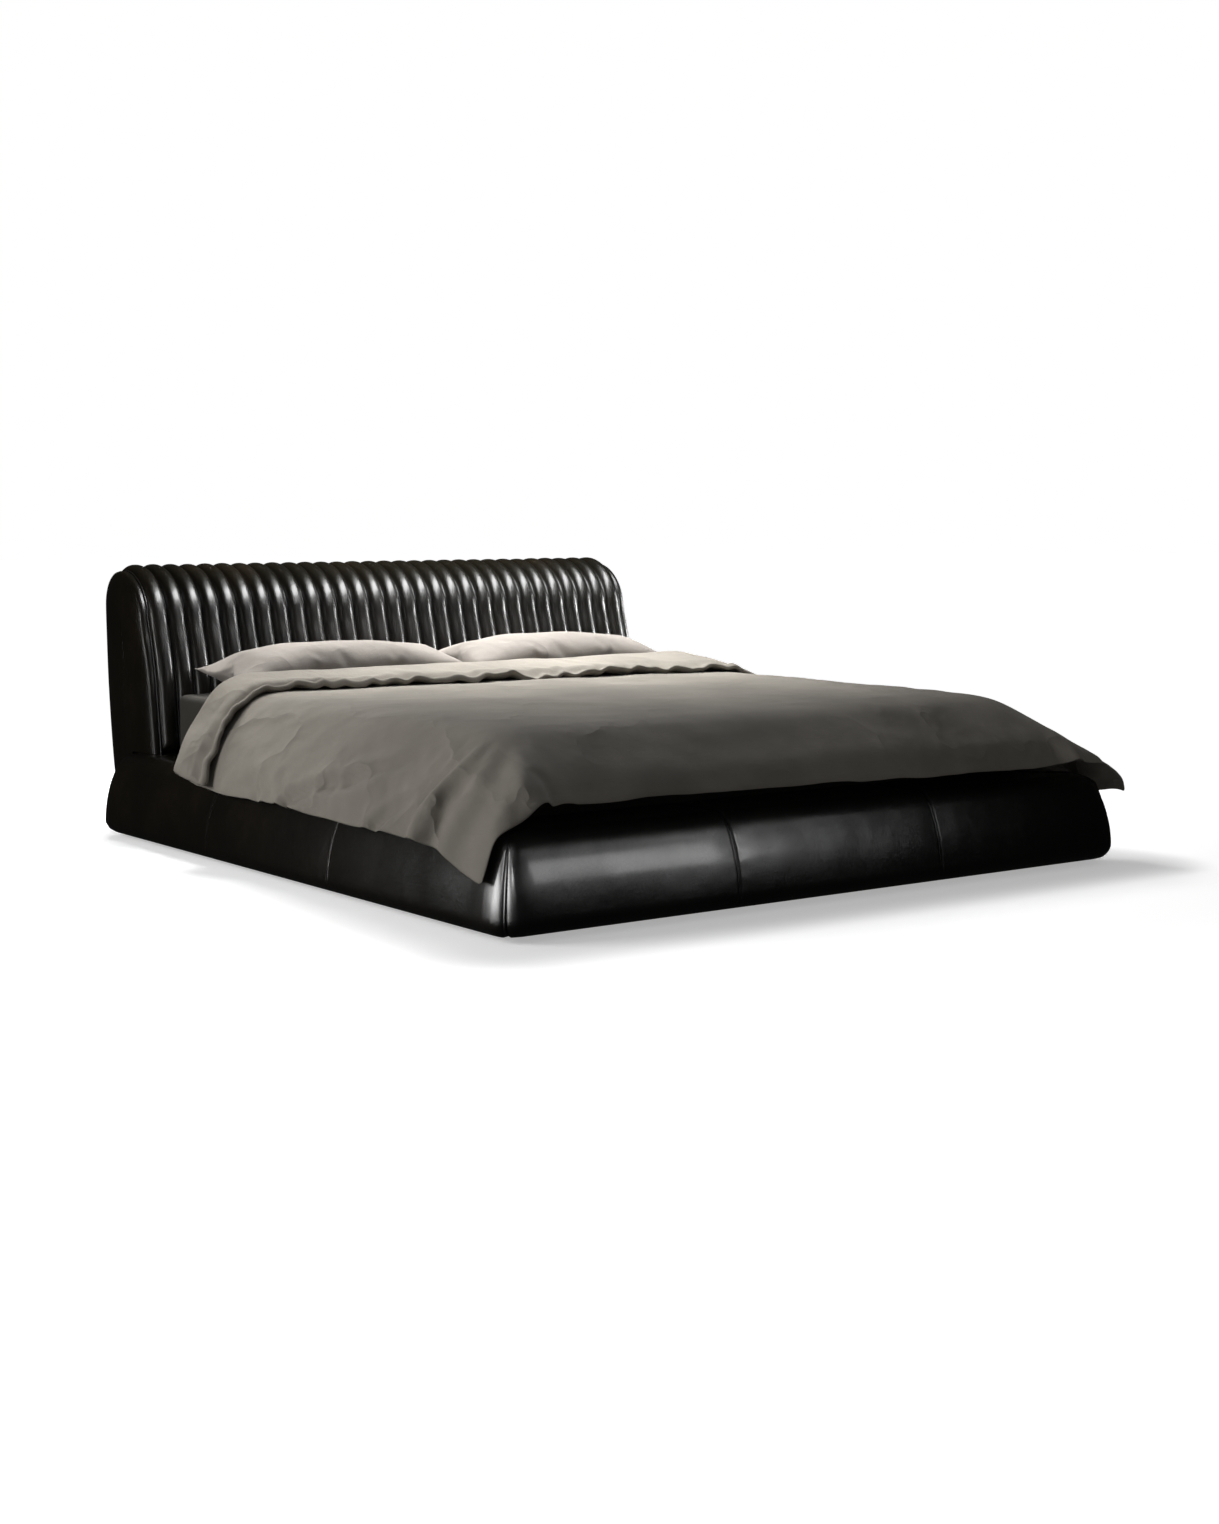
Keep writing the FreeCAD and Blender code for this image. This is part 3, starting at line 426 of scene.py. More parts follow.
def piece_from(name, mesh, material, body=BASE):
    """Turns a bmesh into a smooth piece with one finish, which rides on a body."""
    data = bpy.data.meshes.new(name)
    mesh.to_mesh(data)
    mesh.free()
    data.materials.append(material)
    data.shade_smooth()
    piece = bpy.data.objects.new(name, data)
    bpy.context.collection.objects.link(piece)
    if body:
        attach(piece, body)
    print(f"{name}: {len(data.vertices)} points, {len(data.polygons)} faces")
    return piece


def stands_for(piece, nodes):
    """The piece hides the plain solids that it stands for."""
    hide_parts(*nodes)
    return piece


# %% Arcs and evenly spaced lines in a flat outline
def bow(start, end, radius, side=1, steps=10):
    """Points after start, up to end, on an arc that bulges to the left (1) or right (-1)."""
    start, end = Vector(start), Vector(end)
    chord = end - start
    left = Vector((-chord.y, chord.x)).normalized() * side
    middle = (start + end) / 2
    centre = middle - left * math.sqrt(max(radius ** 2 - chord.length_squared / 4, 0))
    from_centre = start - centre
    turn = from_centre.angle_signed(end - centre)
    points = []
    for i in range(1, steps + 1):
        angle = -turn * i / steps
        c, s = math.cos(angle), math.sin(angle)
        points.append(centre + Vector((from_centre.x * c - from_centre.y * s,
                                       from_centre.x * s + from_centre.y * c)))
    return points


def straight(start, end, steps):
    """Points after start, up to end, on a straight line."""
    start, end = Vector(start), Vector(end)
    return [start.lerp(end, i / steps) for i in range(1, steps + 1)]


def even_spacing(points, step, loop=False):
    """The same line with its points about a step apart."""
    line = points + points[:1] if loop else points
    lengths = [0.0]
    for a, b in zip(line, line[1:]):
        lengths.append(lengths[-1] + (b - a).length)
    count = max(2, round(lengths[-1] / step))
    spaced = []
    index = 0
    for i in range(count if loop else count + 1):
        target = lengths[-1] * i / count
        while index < len(line) - 2 and lengths[index + 1] < target:
            index += 1
        part = (target - lengths[index]) / max(lengths[index + 1] - lengths[index], 1e-9)
        spaced.append(line[index].lerp(line[index + 1], min(max(part, 0), 1)))
    return spaced


def ease_corners(points, rounds, loop=False):
    """Each point moves toward the middle of its neighbours, which rounds a kink."""
    line = [p.copy() for p in points]
    for _ in range(rounds):
        last = len(line)
        moved = []
        for i in range(last):
            if not loop and i in (0, last - 1):
                moved.append(line[i])
                continue
            middle = (line[i - 1] + line[(i + 1) % last]) / 2
            moved.append(line[i].lerp(middle, 0.5))
        line = moved
    return line


def normals_of(points, loop=False):
    """Unit normals to the left of a flat line."""
    last = len(points)
    found = []
    for i in range(last):
        before = points[i - 1] if loop or i > 0 else points[0]
        after = points[(i + 1) % last] if loop or i < last - 1 else points[-1]
        run = after - before
        found.append(Vector((-run.y, run.x)).normalized())
    return found


def ramp(value, start, width):
    """0 before start and 1 a width after it, with a straight run between."""
    return min(max((value - start) / width, 0), 1)


def ease(value, start, width):
    """The same with a soft step between."""
    share = ramp(value, start, width)
    return share * share * (3 - 2 * share)


def dip(distance, width):
    """1 on a line, falling away smoothly to 0 a few widths from it."""
    return math.exp(-((distance / width) ** 2))


def swell(x, y, z, scale, seed=0.0):
    """Smooth noise between about -1 and 1, with swells about 1 / scale metres long."""
    return noise.noise(Vector((x * scale + seed, y * scale - seed, z * scale + 2 * seed)))


# %% [markdown]
# ## The padded rails
#
# A box rail is wrapped in foam and dacron, and the leather is drawn over the top and stapled under
# the bottom edge. It bulges most near the floor and leans in towards the mattress. The three rails
# are sewn from panels with a twin-needle seam between them, and meet in a welted seam at each foot
# corner. Each one is a ring of the same side profile, carried along the rail. At the corner the
# rings turn about the corner's centre and end on the mitre.

# %% Sizes of the rails, read from the frame
side_low, side_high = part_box("side_pad_left")
foot_low, foot_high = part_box("foot_pad")
HALF_WIDTH = -side_low.x
FOOT_Y = foot_low.y
RAIL_END_Y = side_high.y
RAIL_TOP = side_high.z
SIDE_DEPTH = side_high.x - side_low.x
FOOT_DEPTH = foot_high.y - foot_low.y
CORNER = 0.06
NEST_DEPTH = 0.123          # the rail is narrower beside the headboard
NEST_Y = 0.985
BOX_DEPTH = 0.095           # foam in front of the plywood box
BOX_TOP = 0.24
UNDERSIDE = 0.008           # the padding comes down to here
SIDE_SEAMS = (-0.46, 0.315)
FOOT_SEAMS = (-0.39, 0.39)
print(f"rails: {SIDE_DEPTH * 1000:.0f} mm deep at the sides, {FOOT_DEPTH * 1000:.0f} at the foot")


# %% The rail's side profile
def rail_profile(depth):
    """Inset from the bulge and height, round the padding; the last points line the hollow."""
    low = side_low.z
    skin = [Vector((BOX_DEPTH, low)), Vector((0.07, low)), Vector((0.044, low))]
    skin += bow((0.044, low), (0.0, 0.058), 0.052, steps=8)
    skin += bow((0.0, 0.058), (0.044, 0.232), 0.42, steps=14)
    skin += bow((0.044, 0.232), (0.108, RAIL_TOP), 0.085, steps=10)
    skin += straight((0.108, RAIL_TOP), (depth - 0.014, RAIL_TOP), 6)
    skin += bow((depth - 0.014, RAIL_TOP), (depth, RAIL_TOP - 0.014), 0.014, steps=4)
    skin += straight((depth, RAIL_TOP - 0.014), (depth, low), 5)
    inner = depth - 0.002
    hollow = [Vector((inner, low)), Vector((inner, BOX_TOP)), Vector((BOX_DEPTH, BOX_TOP))]
    return skin, hollow


BESIDE_SEAM = (0, 0.0015, 0.003, 0.0055, 0.009, 0.014, 0.02)


def stations(start, end, seams, step=0.03):
    """Places along a rail, close together beside each seam."""
    count = round(abs(end - start) / step)
    places = {round(start + (end - start) * i / count, 5) for i in range(count + 1)}
    for seam in seams:
        for off in BESIDE_SEAM:
            places |= {round(seam + off, 5), round(seam - off, 5)}
    low, high = min(start, end), max(start, end)
    return sorted(p for p in places if low <= p <= high)


FOOT_GROOVE = 0.0042
SIDE_GROOVE = 0.0016        # the side seams are pulled in less
END_ROUND = 0.045           # radius of a side rail's soft end


def puff(height, along, seams, groove, mitre_gap, seed, end_gap=1.0):
    """How far the leather stands out from, or in from, the plain profile."""
    shown = ramp(height, 0.02, 0.05)
    out = 0.0022 * swell(along, height, seed, 5.5, seed) * shown
    for seam in seams:
        gap = abs(along - seam)
        out -= (groove * dip(gap, 0.0045) + 0.002 * dip(gap, 0.045)) * shown
        pucker = math.sin(height * 150 + seed * 3) * dip(gap - 0.014, 0.012)
        out += 0.0005 * pucker * shown
    # drawn in hard at the corner seam, and full again beside it
    out -= 0.006 * dip(mitre_gap, 0.007) + 0.007 * dip(mitre_gap, 0.03)
    out += 0.0035 * dip(mitre_gap - 0.075, 0.035) * shown
    if end_gap < END_ROUND:
        out -= END_ROUND - math.sqrt(END_ROUND ** 2 - (END_ROUND - end_gap) ** 2)
    return out


# %% Rings along a side rail, from its head end to the mitre
TURN_STEPS = 7              # rings from the straight part of a rail to the mitre
NEAR_END = (0, 0.002, 0.006, 0.012, 0.02, 0.03)


def side_rings(side):
    skin, hollow = rail_profile(SIDE_DEPTH)
    normals = normals_of(skin)
    seed = 1.7 if side < 0 else 4.3

    def ring(y, turn, nested):
        """One ring across the rail; turn goes from 0 to 1 through the rounded corner."""
        points = []
        for i, (point, normal) in enumerate(zip(skin + hollow, normals + [None] * len(hollow))):
            inset, height = point
            if nested:
                limit = NEST_DEPTH if i < len(skin) else NEST_DEPTH - 0.002
                inset = min(inset, limit)
            kept = max(inset, CORNER)
            here = y if turn == 0 and y > FOOT_Y + kept else FOOT_Y + kept
            mitre_gap = (here - (FOOT_Y + kept)) + (1 - turn) * CORNER * 0.7
            if normal:
                free = 0 if nested and inset >= NEST_DEPTH else 1
                if inset > BOX_DEPTH and height < BOX_TOP:
                    free = 0
                to_end = RAIL_END_Y - y
                out = puff(height, here, SIDE_SEAMS, SIDE_GROOVE, mitre_gap, seed, to_end)
                inset += normal.x * out * free
                height += normal.y * out * free
            angle = math.radians(45 * turn)
            reach = max(CORNER - inset, 0)
            kept = max(inset, CORNER)
            if turn:
                x = HALF_WIDTH - kept + reach * math.cos(angle)
                y_here = FOOT_Y + kept - reach * math.sin(angle)
            else:
                x = HALF_WIDTH - inset
                y_here = max(y, FOOT_Y + kept)
            points.append((x * side, y_here, max(height, UNDERSIDE)))
        return points

    places = stations(FOOT_Y + CORNER, RAIL_END_Y, SIDE_SEAMS)
    places += [RAIL_END_Y - gap for gap in NEAR_END] + [FOOT_Y + SIDE_DEPTH, FOOT_Y + BOX_DEPTH]
    places = sorted(set(places), reverse=True)
    rings = [ring(y, 0, True) for y in places if y > NEST_Y]
    rings += [ring(NEST_Y, 0, nested) for nested in (True, False)]
    rings += [ring(y, 0, False) for y in places if y < NEST_Y]
    rings += [ring(FOOT_Y, i / TURN_STEPS, False) for i in range(1, TURN_STEPS + 1)]
    return rings


for side, name in ((-1, "left"), (1, "right")):
    cover = from_rings(f"side_cover_{name}", side_rings(side), BLACK_LEATHER)
    stands_for(cover, [f"side_pad_{name}"])


# %% Rings along the foot rail, from one mitre to the other
def foot_rings():
    skin, hollow = rail_profile(FOOT_DEPTH)
    normals = normals_of(skin)

    def ring(x, turn):
        """One ring across the rail, from front to back, turned the same way at the corners."""
        side = -1 if x < 0 else 1
        points = []
        for i, (point, normal) in enumerate(zip(skin + hollow, normals + [None] * len(hollow))):
            inset, height = point
            kept = min(max(inset, CORNER), SIDE_DEPTH)
            limit = HALF_WIDTH - kept
            mitre_gap = max(limit - abs(x), 0) + (1 - turn) * CORNER * 0.7
            if normal and not (inset > BOX_DEPTH and height < BOX_TOP):
                along = min(abs(x), limit) * side
                out = puff(height, along, FOOT_SEAMS, FOOT_GROOVE, mitre_gap, 7.9)
                inset += normal.x * out
                height += normal.y * out
                kept = min(max(inset, CORNER), SIDE_DEPTH)
                limit = HALF_WIDTH - kept
            reach = max(CORNER - inset, 0)
            angle = math.radians(90 - 45 * turn)
            if turn:
                x_here = (limit + reach * math.cos(angle)) * side
                y_here = FOOT_Y + max(inset, CORNER) - reach * math.sin(angle)
            else:
                x_here = min(abs(x), limit) * side
                y_here = FOOT_Y + inset
            points.append((x_here, y_here, max(height, UNDERSIDE)))
        return points

    places = stations(-HALF_WIDTH + CORNER, HALF_WIDTH - CORNER, FOOT_SEAMS)
    rings = [ring(-HALF_WIDTH, i / TURN_STEPS) for i in range(TURN_STEPS, 0, -1)]
    rings += [ring(x, 0) for x in places]
    rings += [ring(HALF_WIDTH, i / TURN_STEPS) for i in range(1, TURN_STEPS + 1)]
    return rings


foot_cover = from_rings("foot_cover", foot_rings(), BLACK_LEATHER)
stands_for(foot_cover, ["foot_pad"])

# %% [markdown]
# ## Welts and topstitching
#
# A welt is a cord sewn into a folded strip of leather, caught in the seam. It hides the join at each
# foot corner and runs round the ends of the headboard. A curve with a round bevel would do, but it
# can't be made closed and exported as cleanly as a mesh tube, so one is swept along the seam's line.


# %% A tube along a line of points
def tube(name, line, radius, material, sides=8, loop=False, body=BASE):
    """A closed tube. Each ring stands square to the line and keeps the last one's twist."""
    rings = []
    last = len(line)
    lift = Vector((0.13, 0.21, 0.97)).normalized()
    for i, point in enumerate(line):
        before = line[i - 1] if loop or i > 0 else line[0]
        after = line[(i + 1) % last] if loop or i < last - 1 else line[-1]
        run = (after - before).normalized()
        across = run.cross(lift).normalized()
        lift = across.cross(run).normalized()
        ring = []
        for k in range(sides):
            angle = 2 * math.pi * k / sides
            ring.append(point + (across * math.cos(angle) + lift * math.sin(angle)) * radius)
        rings.append(ring)
    return from_rings(name, rings, material, closed=loop, body=body)


WELT = 0.0034
WELT_SINK = 0.0085
for side, name in ((-1, "left"), (1, "right")):
    skin, _ = rail_profile(SIDE_DEPTH)
    normals = normals_of(skin)
    line = []
    for point, normal in zip(skin[2:-6], normals[2:-6]):
        inset = point.x - normal.x * WELT_SINK
        height = max(point.y - normal.y * WELT_SINK, 0.012)
        reach = max(CORNER - inset, 0) * math.cos(math.radians(45))
        kept = max(inset, CORNER)
        line.append(Vector(((HALF_WIDTH - kept + reach) * side, FOOT_Y + kept - reach, height)))
    line = ease_corners(even_spacing(line, 0.006), 2)
    welt = tube(f"corner_welt_{name}", line, WELT, WELT_LEATHER)


# %% Thread along the panel seams, stitch by stitch
STITCH = 0.0075             # from one stitch to the next
BESIDE = 0.006              # from the seam to the row of stitches
THREAD_RADIUS = 0.0006
THREAD_SIDES = 6
DIVE = -0.0012              # the ends of a stitch go down into the leather


def add_stitch(mesh, to_place, along, middle, run, normal):
    """One closed thread that dives at both ends."""
    rings = []
    half = STITCH * 0.36
    for share, sink, width in ((-1, DIVE, 0.5), (-0.6, 0, 1), (0.6, 0, 1), (1, DIVE, 0.5)):
        centre = middle + run * (half * share) + normal * sink
        radius = THREAD_RADIUS * width
        ring = []
        for k in range(THREAD_SIDES):
            angle = 2 * math.pi * k / THREAD_SIDES
            point = centre + normal * (math.sin(angle) * radius)
            ring.append(mesh.verts.new(to_place(along + math.cos(angle) * radius, point)))
        rings.append(ring)
    for low, high in zip(rings, rings[1:]):
        for k in range(THREAD_SIDES):
            following = (k + 1) % THREAD_SIDES
            mesh.faces.new((low[k], low[following], high[following], high[k]))
    mesh.faces.new(reversed(rings[0]))
    mesh.faces.new(rings[-1])


def stitched(name, seams, depth, to_place):
    """Short threads beside each panel seam, down the face of a rail."""
    skin, _ = rail_profile(depth)
    face = even_spacing([p for p in skin if 0.04 < p.y and p.x < 0.13], STITCH)
    normals = normals_of(face)
    mesh = bmesh.new()
    for seam in seams:
        for i in range(1, len(face) - 1):
            middle = face[i] + normals[i] * 0.0004
            run = (face[i + 1] - face[i - 1]).normalized()
            add_stitch(mesh, to_place, seam + BESIDE, middle, run, normals[i])
    bmesh.ops.recalc_face_normals(mesh, faces=mesh.faces)
    print(f"{name}: {len(seams) * (len(face) - 2)} stitches")
    return piece_from(name, mesh, THREAD)


# %% The thread's own finish, and where each rail's seams are
TWIST = 0.0011


def thread():
    finish = Finish("bonded_thread", Specular_IOR_Level=0.15, Sheen_Weight=0.1)
    twist = ((finish.along(2) + finish.along(0)) * turns(TWIST)).wave() * 0.5 + 0.5
    colour = finish.blend(twist * 0.5, (0.024, 0.021, 0.016), (0.012, 0.01, 0.008))
    finish.set(Base_Color=colour, Roughness=0.65 + twist * 0.2)
    finish.relief((twist, 0.0002))
    return finish.material


THREAD = thread()


def on_foot(along, point):
    return Vector((along, FOOT_Y + point.x, point.y))


def on_left(along, point):
    return Vector((-HALF_WIDTH + point.x, along, point.y))


def on_right(along, point):
    return Vector((HALF_WIDTH - point.x, along, point.y))


for name, seams, depth, to_place in (
    ("foot_topstitch", FOOT_SEAMS, FOOT_DEPTH, on_foot),
    ("left_topstitch", SIDE_SEAMS, SIDE_DEPTH, on_left),
    ("right_topstitch", SIDE_SEAMS, SIDE_DEPTH, on_right),
):
    threads = stitched(name, seams, depth, to_place)

# %% [markdown]
# ## The channelled headboard
#
# Channels, or flutes, are tubes of leather sewn to a backing cloth and stuffed with foam strips, so
# each one is nearly a half round with a tight seam on both sides. They follow the headboard's
# profile: up the leaning front, over the roll and down the back. The whole cushion is one mesh of
# sections across the bed, and each section is the same row of half rounds with small differences,
# because hand-stuffed channels are never quite alike.

# %% The line of the seams, from behind the mattress to the back
channel_low, channel_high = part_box("headboard_channels")
end_low, end_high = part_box("headboard_end_left")
CHANNELS = 30
SPAN = channel_high.x - channel_low.x
PITCH = SPAN / CHANNELS
CREST = 0.027               # how far a channel stands out from its seams
FOAM = 0.04
SEAM_TOP = channel_high.z - CREST
SEAM_STEP = 0.011           # from one section to the next, along the seams
CHANNEL_STEPS = 14          # points across one channel

# Y and Z along the side profile, from the front of the base over the roll to the back
FRONT_LOW = (1.006, channel_low.z)
LEAN_START = (1.029, 0.54)
ROLL_START = (1.078, 0.726)
ROLL_TOP = (1.257, SEAM_TOP)
ROLL_BACK = (1.343, 0.819)
BACK_END = (1.343, 0.64)
LEAN_RADIUS = 0.9
ROLL_RADIUS = SEAM_TOP - ROLL_START[1]


def seam_line():
    line = [Vector(FRONT_LOW)]
    line += straight(FRONT_LOW, LEAN_START, 8)
    line += bow(LEAN_START, ROLL_START, LEAN_RADIUS)
    line += bow(ROLL_START, ROLL_TOP, ROLL_RADIUS, steps=14)
    line += bow(ROLL_TOP, ROLL_BACK, 0.086, steps=12)
    line += straight(ROLL_BACK, BACK_END, 8)
    return ease_corners(even_spacing(line, SEAM_STEP), 10)


SEAM_LINE = seam_line()
SEAM_NORMALS = normals_of(SEAM_LINE)
print(f"{CHANNELS} channels, {PITCH * 1000:.0f} mm apart, {len(SEAM_LINE)} sections long")


# %% One section across all the channels
CHANNEL_CLOSES = 0.03       # a channel narrows to nothing over this length at its ends


def channel_height(share, index, along):
    """Height of the leather above the seam line, across one channel (share from 0 to 1)."""
    half = abs(2 * share - 1)
    round_top = (1 - half ** 2.3) ** 0.62
    stuffing = 1 + 0.05 * swell(index * 0.37, along, 0, 4.0, 3.1)
    lean = 1 + 0.05 * (2 * share - 1) * swell(index * 0.9, along, 2, 3.0, 8.8)
    return CREST * round_top * stuffing * lean


def channel_rings():
    """Sections from the front of the base to the back, with a flat backing of foam."""
    rings = []
    total = (len(SEAM_LINE) - 1) * SEAM_STEP
    for row, (seam, normal) in enumerate(zip(SEAM_LINE, SEAM_NORMALS)):
        along = row * SEAM_STEP
        to_end = min(along, total - along)
        closing = math.sin(min(1, 0.12 + to_end / CHANNEL_CLOSES) * math.pi / 2)
        ring = []
        for index in range(CHANNELS):
            for step in range(CHANNEL_STEPS):
                share = step / CHANNEL_STEPS
                height = channel_height(share, index, along) * closing
                near_seam = dip(min(share, 1 - share) * PITCH, 0.008)
                pucker = 0.0007 * swell(index * 1.7, along * 14, share, 3.0, 5.5) * near_seam
                x = -SPAN / 2 + (index + share) * PITCH
                x += 0.0012 * swell(index * 0.71, along, 0, 2.4, 1.3) * (0 < index)
                point = seam + normal * (height + pucker)
                ring.append((x, point.x, point.y))
        for x, depth in ((SPAN / 2, 0), (SPAN / 2, -FOAM), (-SPAN / 2, -FOAM)):
            point = seam + normal * depth
            ring.append((x, point.x, point.y))
        rings.append(ring)
    return rings


channels = from_rings("headboard_channel_cushion", channel_rings(), BLACK_LEATHER)
stands_for(channels, ["headboard_channels"])

# %% [markdown]
# ## The headboard's ends and covers
#
# Each end is a separate panel, cut to the side profile and padded so that its face is domed and its
# edge is full and round. The rings here are the panel's own outline, drawn in step by step toward a
# line down its middle, while the face rises.

# %% The outline of an end, from its low front corner round the back and down the front
HEAD_HALF = -end_low.x
END_THICK = end_high.x - end_low.x
END_LOW = 0.032


def end_outline():
    low_front = (0.985, END_LOW)
    low_back = (1.285, END_LOW)
    heel = (1.3, END_LOW + 0.014)
    toe = (0.972, END_LOW + 0.013)
    back = (1.368, 0.7)
    shoulder = (1.368, 0.792)
    line = straight(low_front, low_back, 8)
    line += bow(low_back, heel, 0.015, -1, 3)
    line += bow(heel, back, 3.09, -1, 16)
    line += straight(back, shoulder, 3)
    line += bow(shoulder, ROLL_TOP, 0.113, -1, 12)
    line += bow(ROLL_TOP, ROLL_START, ROLL_RADIUS, -1, 14)
    line += bow(ROLL_START, LEAN_START, LEAN_RADIUS, -1, 6)
    line += straight(LEAN_START, toe, 14)
    line += bow(toe, low_front, 0.013, -1, 3)
    return ease_corners(even_spacing(line, 0.014, loop=True), 3, loop=True)


END_OUTLINE = end_outline()
END_NORMALS = normals_of(END_OUTLINE, loop=True)
SPINE = (Vector((1.14, 0.17)), Vector((1.225, 0.765)))
print(f"end outline: {len(END_OUTLINE)} points, {END_THICK * 1000:.0f} mm thick")


# %% Rings over an end's full edge and its domed face
def toward_spine(point):
    """The nearest place on the line down the middle of an end."""
    run = SPINE[1] - SPINE[0]
    share = (point - SPINE[0]).dot(run) / run.length_squared
    return SPINE[0] + run * min(max(share, 0), 1)


def end_rings(side):
    """Rings from the hidden inner face, out over the full edge and in across the domed face."""
    inner = HEAD_HALF - END_THICK
    rings = []
    for x_share, grow in ((0, -0.004), (0.04, -0.0005), (0.16, 0.003), (0.36, 0.0035), (0.55, 0.001)):
        ring = []
        for point, normal in zip(END_OUTLINE, END_NORMALS):
            wavy = 0.001 * swell(point.x, point.y, side, 9, 2.2)
            place = point - normal * (grow + wavy)
            ring.append(((inner + END_THICK * x_share) * side, place.x, place.y))
        rings.append(ring)
    for draw_in in (0.03, 0.08, 0.15, 0.24, 0.36, 0.5, 0.66, 0.82, 0.94):
        rise = 0.55 + 0.45 * math.sin(min(draw_in / 0.5, 1) * math.pi / 2) ** 0.7
        ring = []
        for point, normal in zip(END_OUTLINE, END_NORMALS):
            place = (point - normal * 0.001).lerp(toward_spine(point), draw_in)
            wavy = 0.0022 * swell(place.x, place.y, side, 6, 6.1) * min(draw_in * 4, 1)
            ring.append(((inner + END_THICK * rise + wavy) * side, place.x, max(place.y, 0.03)))
        rings.append(ring)
    return rings


for side, name in ((-1, "left"), (1, "right")):
    panel = from_rings(f"end_cushion_{name}", end_rings(side), BLACK_LEATHER)
    stands_for(panel, [f"headboard_end_{name}"])
    seam_x = (HEAD_HALF - END_THICK + 0.0015) * side
    outside = [point - normal * 0.0035 for point, normal in zip(END_OUTLINE, END_NORMALS)]
    path = [Vector((seam_x, point.x, point.y)) for point in outside]
    welt = tube(f"end_welt_{name}", path, 0.0036, WELT_LEATHER, loop=True)

# %% [markdown]
# The back is closed by a plain padded panel below the ends of the channels, and a low strip of
# leather covers the headboard behind the mattress. Both are slabs: rings across the bed, each one the
# slab's section, with shallow seams where the panels are joined.


# %% Slabs across the headboard
def slab(name, section, seams, bulge, node):
    """A padded sheet across the bed. The section is a closed outline in Y and Z."""
    low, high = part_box(node)
    ring_line = even_spacing(section, 0.02, loop=True)
    inward = normals_of(ring_line, loop=True)
    rings = []
    edge = (low.x, low.x + 0.003, low.x + 0.009, low.x + 0.018)
    places = sorted({*edge, *(-x for x in edge), *stations(low.x, high.x, seams, 0.04)})
    for x in places:
        to_edge = min(x - low.x, high.x - x)
        shrink = 0.006 * dip(to_edge, 0.007)
        ring = []
        for point, normal in zip(ring_line, inward):
            out = bulge * swell(x, point.x, point.y, 4.5, 9.4) - shrink
            for seam in seams:
                out -= 0.004 * dip(x - seam, 0.005) + 0.002 * dip(x - seam, 0.04)
            place = point - normal * out
            ring.append((x, place.x, place.y))
        rings.append(ring)
    piece = from_rings(name, rings, BLACK_LEATHER)
    return stands_for(piece, [node])


def back_section():
    """The back panel's section: a long shallow curve outside, and the same curve inside."""
    low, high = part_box("headboard_back_cover")
    bottom = low.z + 0.002
    top = high.z - 0.001
    curve = 2.9
    inner_low = (1.274, bottom)
    outer_low = (1.294, bottom)
    outer_high = (high.y - 0.005, 0.61)
    line = straight(inner_low, outer_low, 2)
    line += bow(outer_low, outer_high, curve, -1, 20)
    line += bow(outer_high, (1.345, top), 0.03, -1, 5)
    line += straight((1.345, top), (1.306, top), 3)
    line += bow((1.306, top), inner_low, curve, 1, 20)
    return line


def lower_section():
    """The low cover's section: a wedge, thicker at its top, with a rounded front edge."""
    low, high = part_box("headboard_lower_cover")
    soft = 0.01
    foot = (low.y + 0.023, low.z)
    top_back = (high.y, high.z)
    top_front = (low.y + soft, high.z)
    front = (low.y, high.z - soft)
    line = straight((low.y, low.z), foot, 2)
    line += straight(foot, top_back, 10)
    line += straight(top_back, top_front, 3)
    line += bow(top_front, front, soft, -1, 3)
    line += straight(front, (low.y, low.z), 10)
    return line


slab("back_panel", back_section(), FOOT_SEAMS, 0.0015, "headboard_back_cover")
slab("lower_panel", lower_section(), (), 0.0008, "headboard_lower_cover")

# %% [markdown]
# ## The mattress and its fitted sheet
#
# The mattress is a foam and spring block in quilted ticking, with a tape edge sewn round its top and
# bottom. The fitted sheet is one thin cloth, stretched over the top and drawn under by elastic. Both
# are rings that go round the mattress: out over the top, round the edge and down the side. The
# sheet's rings then turn back up just inside, so that it is a closed skin about a millimetre thick.

# %% Rings round the mattress
mattress_low, mattress_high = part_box("mattress")
MATTRESS_HALF = mattress_high.x
MATTRESS_FOOT = mattress_low.y
MATTRESS_HEAD = mattress_high.y
MATTRESS_TOP = mattress_high.z
SLAT_TOP = mattress_low.z
MATTRESS_CORNER = 0.045     # radius of its corners, from above
EDGE_ROUND_DOWN = 0.02      # radius where its top turns into its side
MIDDLE_Y = (MATTRESS_FOOT + MATTRESS_HEAD) / 2
HALF_LENGTH = (MATTRESS_HEAD - MATTRESS_FOOT) / 2


def round_rectangle(half_x, half_y, radius, corner_steps=6, edge_steps=26):
    """Points round a rectangle with round corners, about the mattress's middle."""
    radius = min(radius, half_x * 0.98, half_y * 0.98)
    corners = ((1, 1, 0), (-1, 1, 90), (-1, -1, 180), (1, -1, 270))
    points = []
    for i, (sx, sy, start) in enumerate(corners):
        centre = Vector((sx * (half_x - radius), sy * (half_y - radius)))
        for step in range(corner_steps + 1):
            angle = math.radians(start + 90 * step / corner_steps)
            points.append(centre + Vector((math.cos(angle), math.sin(angle))) * radius)
        nx, ny, _ = corners[(i + 1) % 4]
        turn = math.radians(start + 90)
        last = points[-1]
        following = Vector((nx * (half_x - radius), ny * (half_y - radius)))
        following += Vector((math.cos(turn), math.sin(turn))) * radius
        for step in range(1, edge_steps):
            points.append(last.lerp(following, step / edge_steps))
    return points


def mattress_outline(inset):
    corner = max(MATTRESS_CORNER - inset, 0.004)
    return round_rectangle(MATTRESS_HALF - inset, HALF_LENGTH - inset, corner)


def mattress_ring(inset, height):
    return [(p.x, p.y + MIDDLE_Y, height) for p in mattress_outline(inset)]


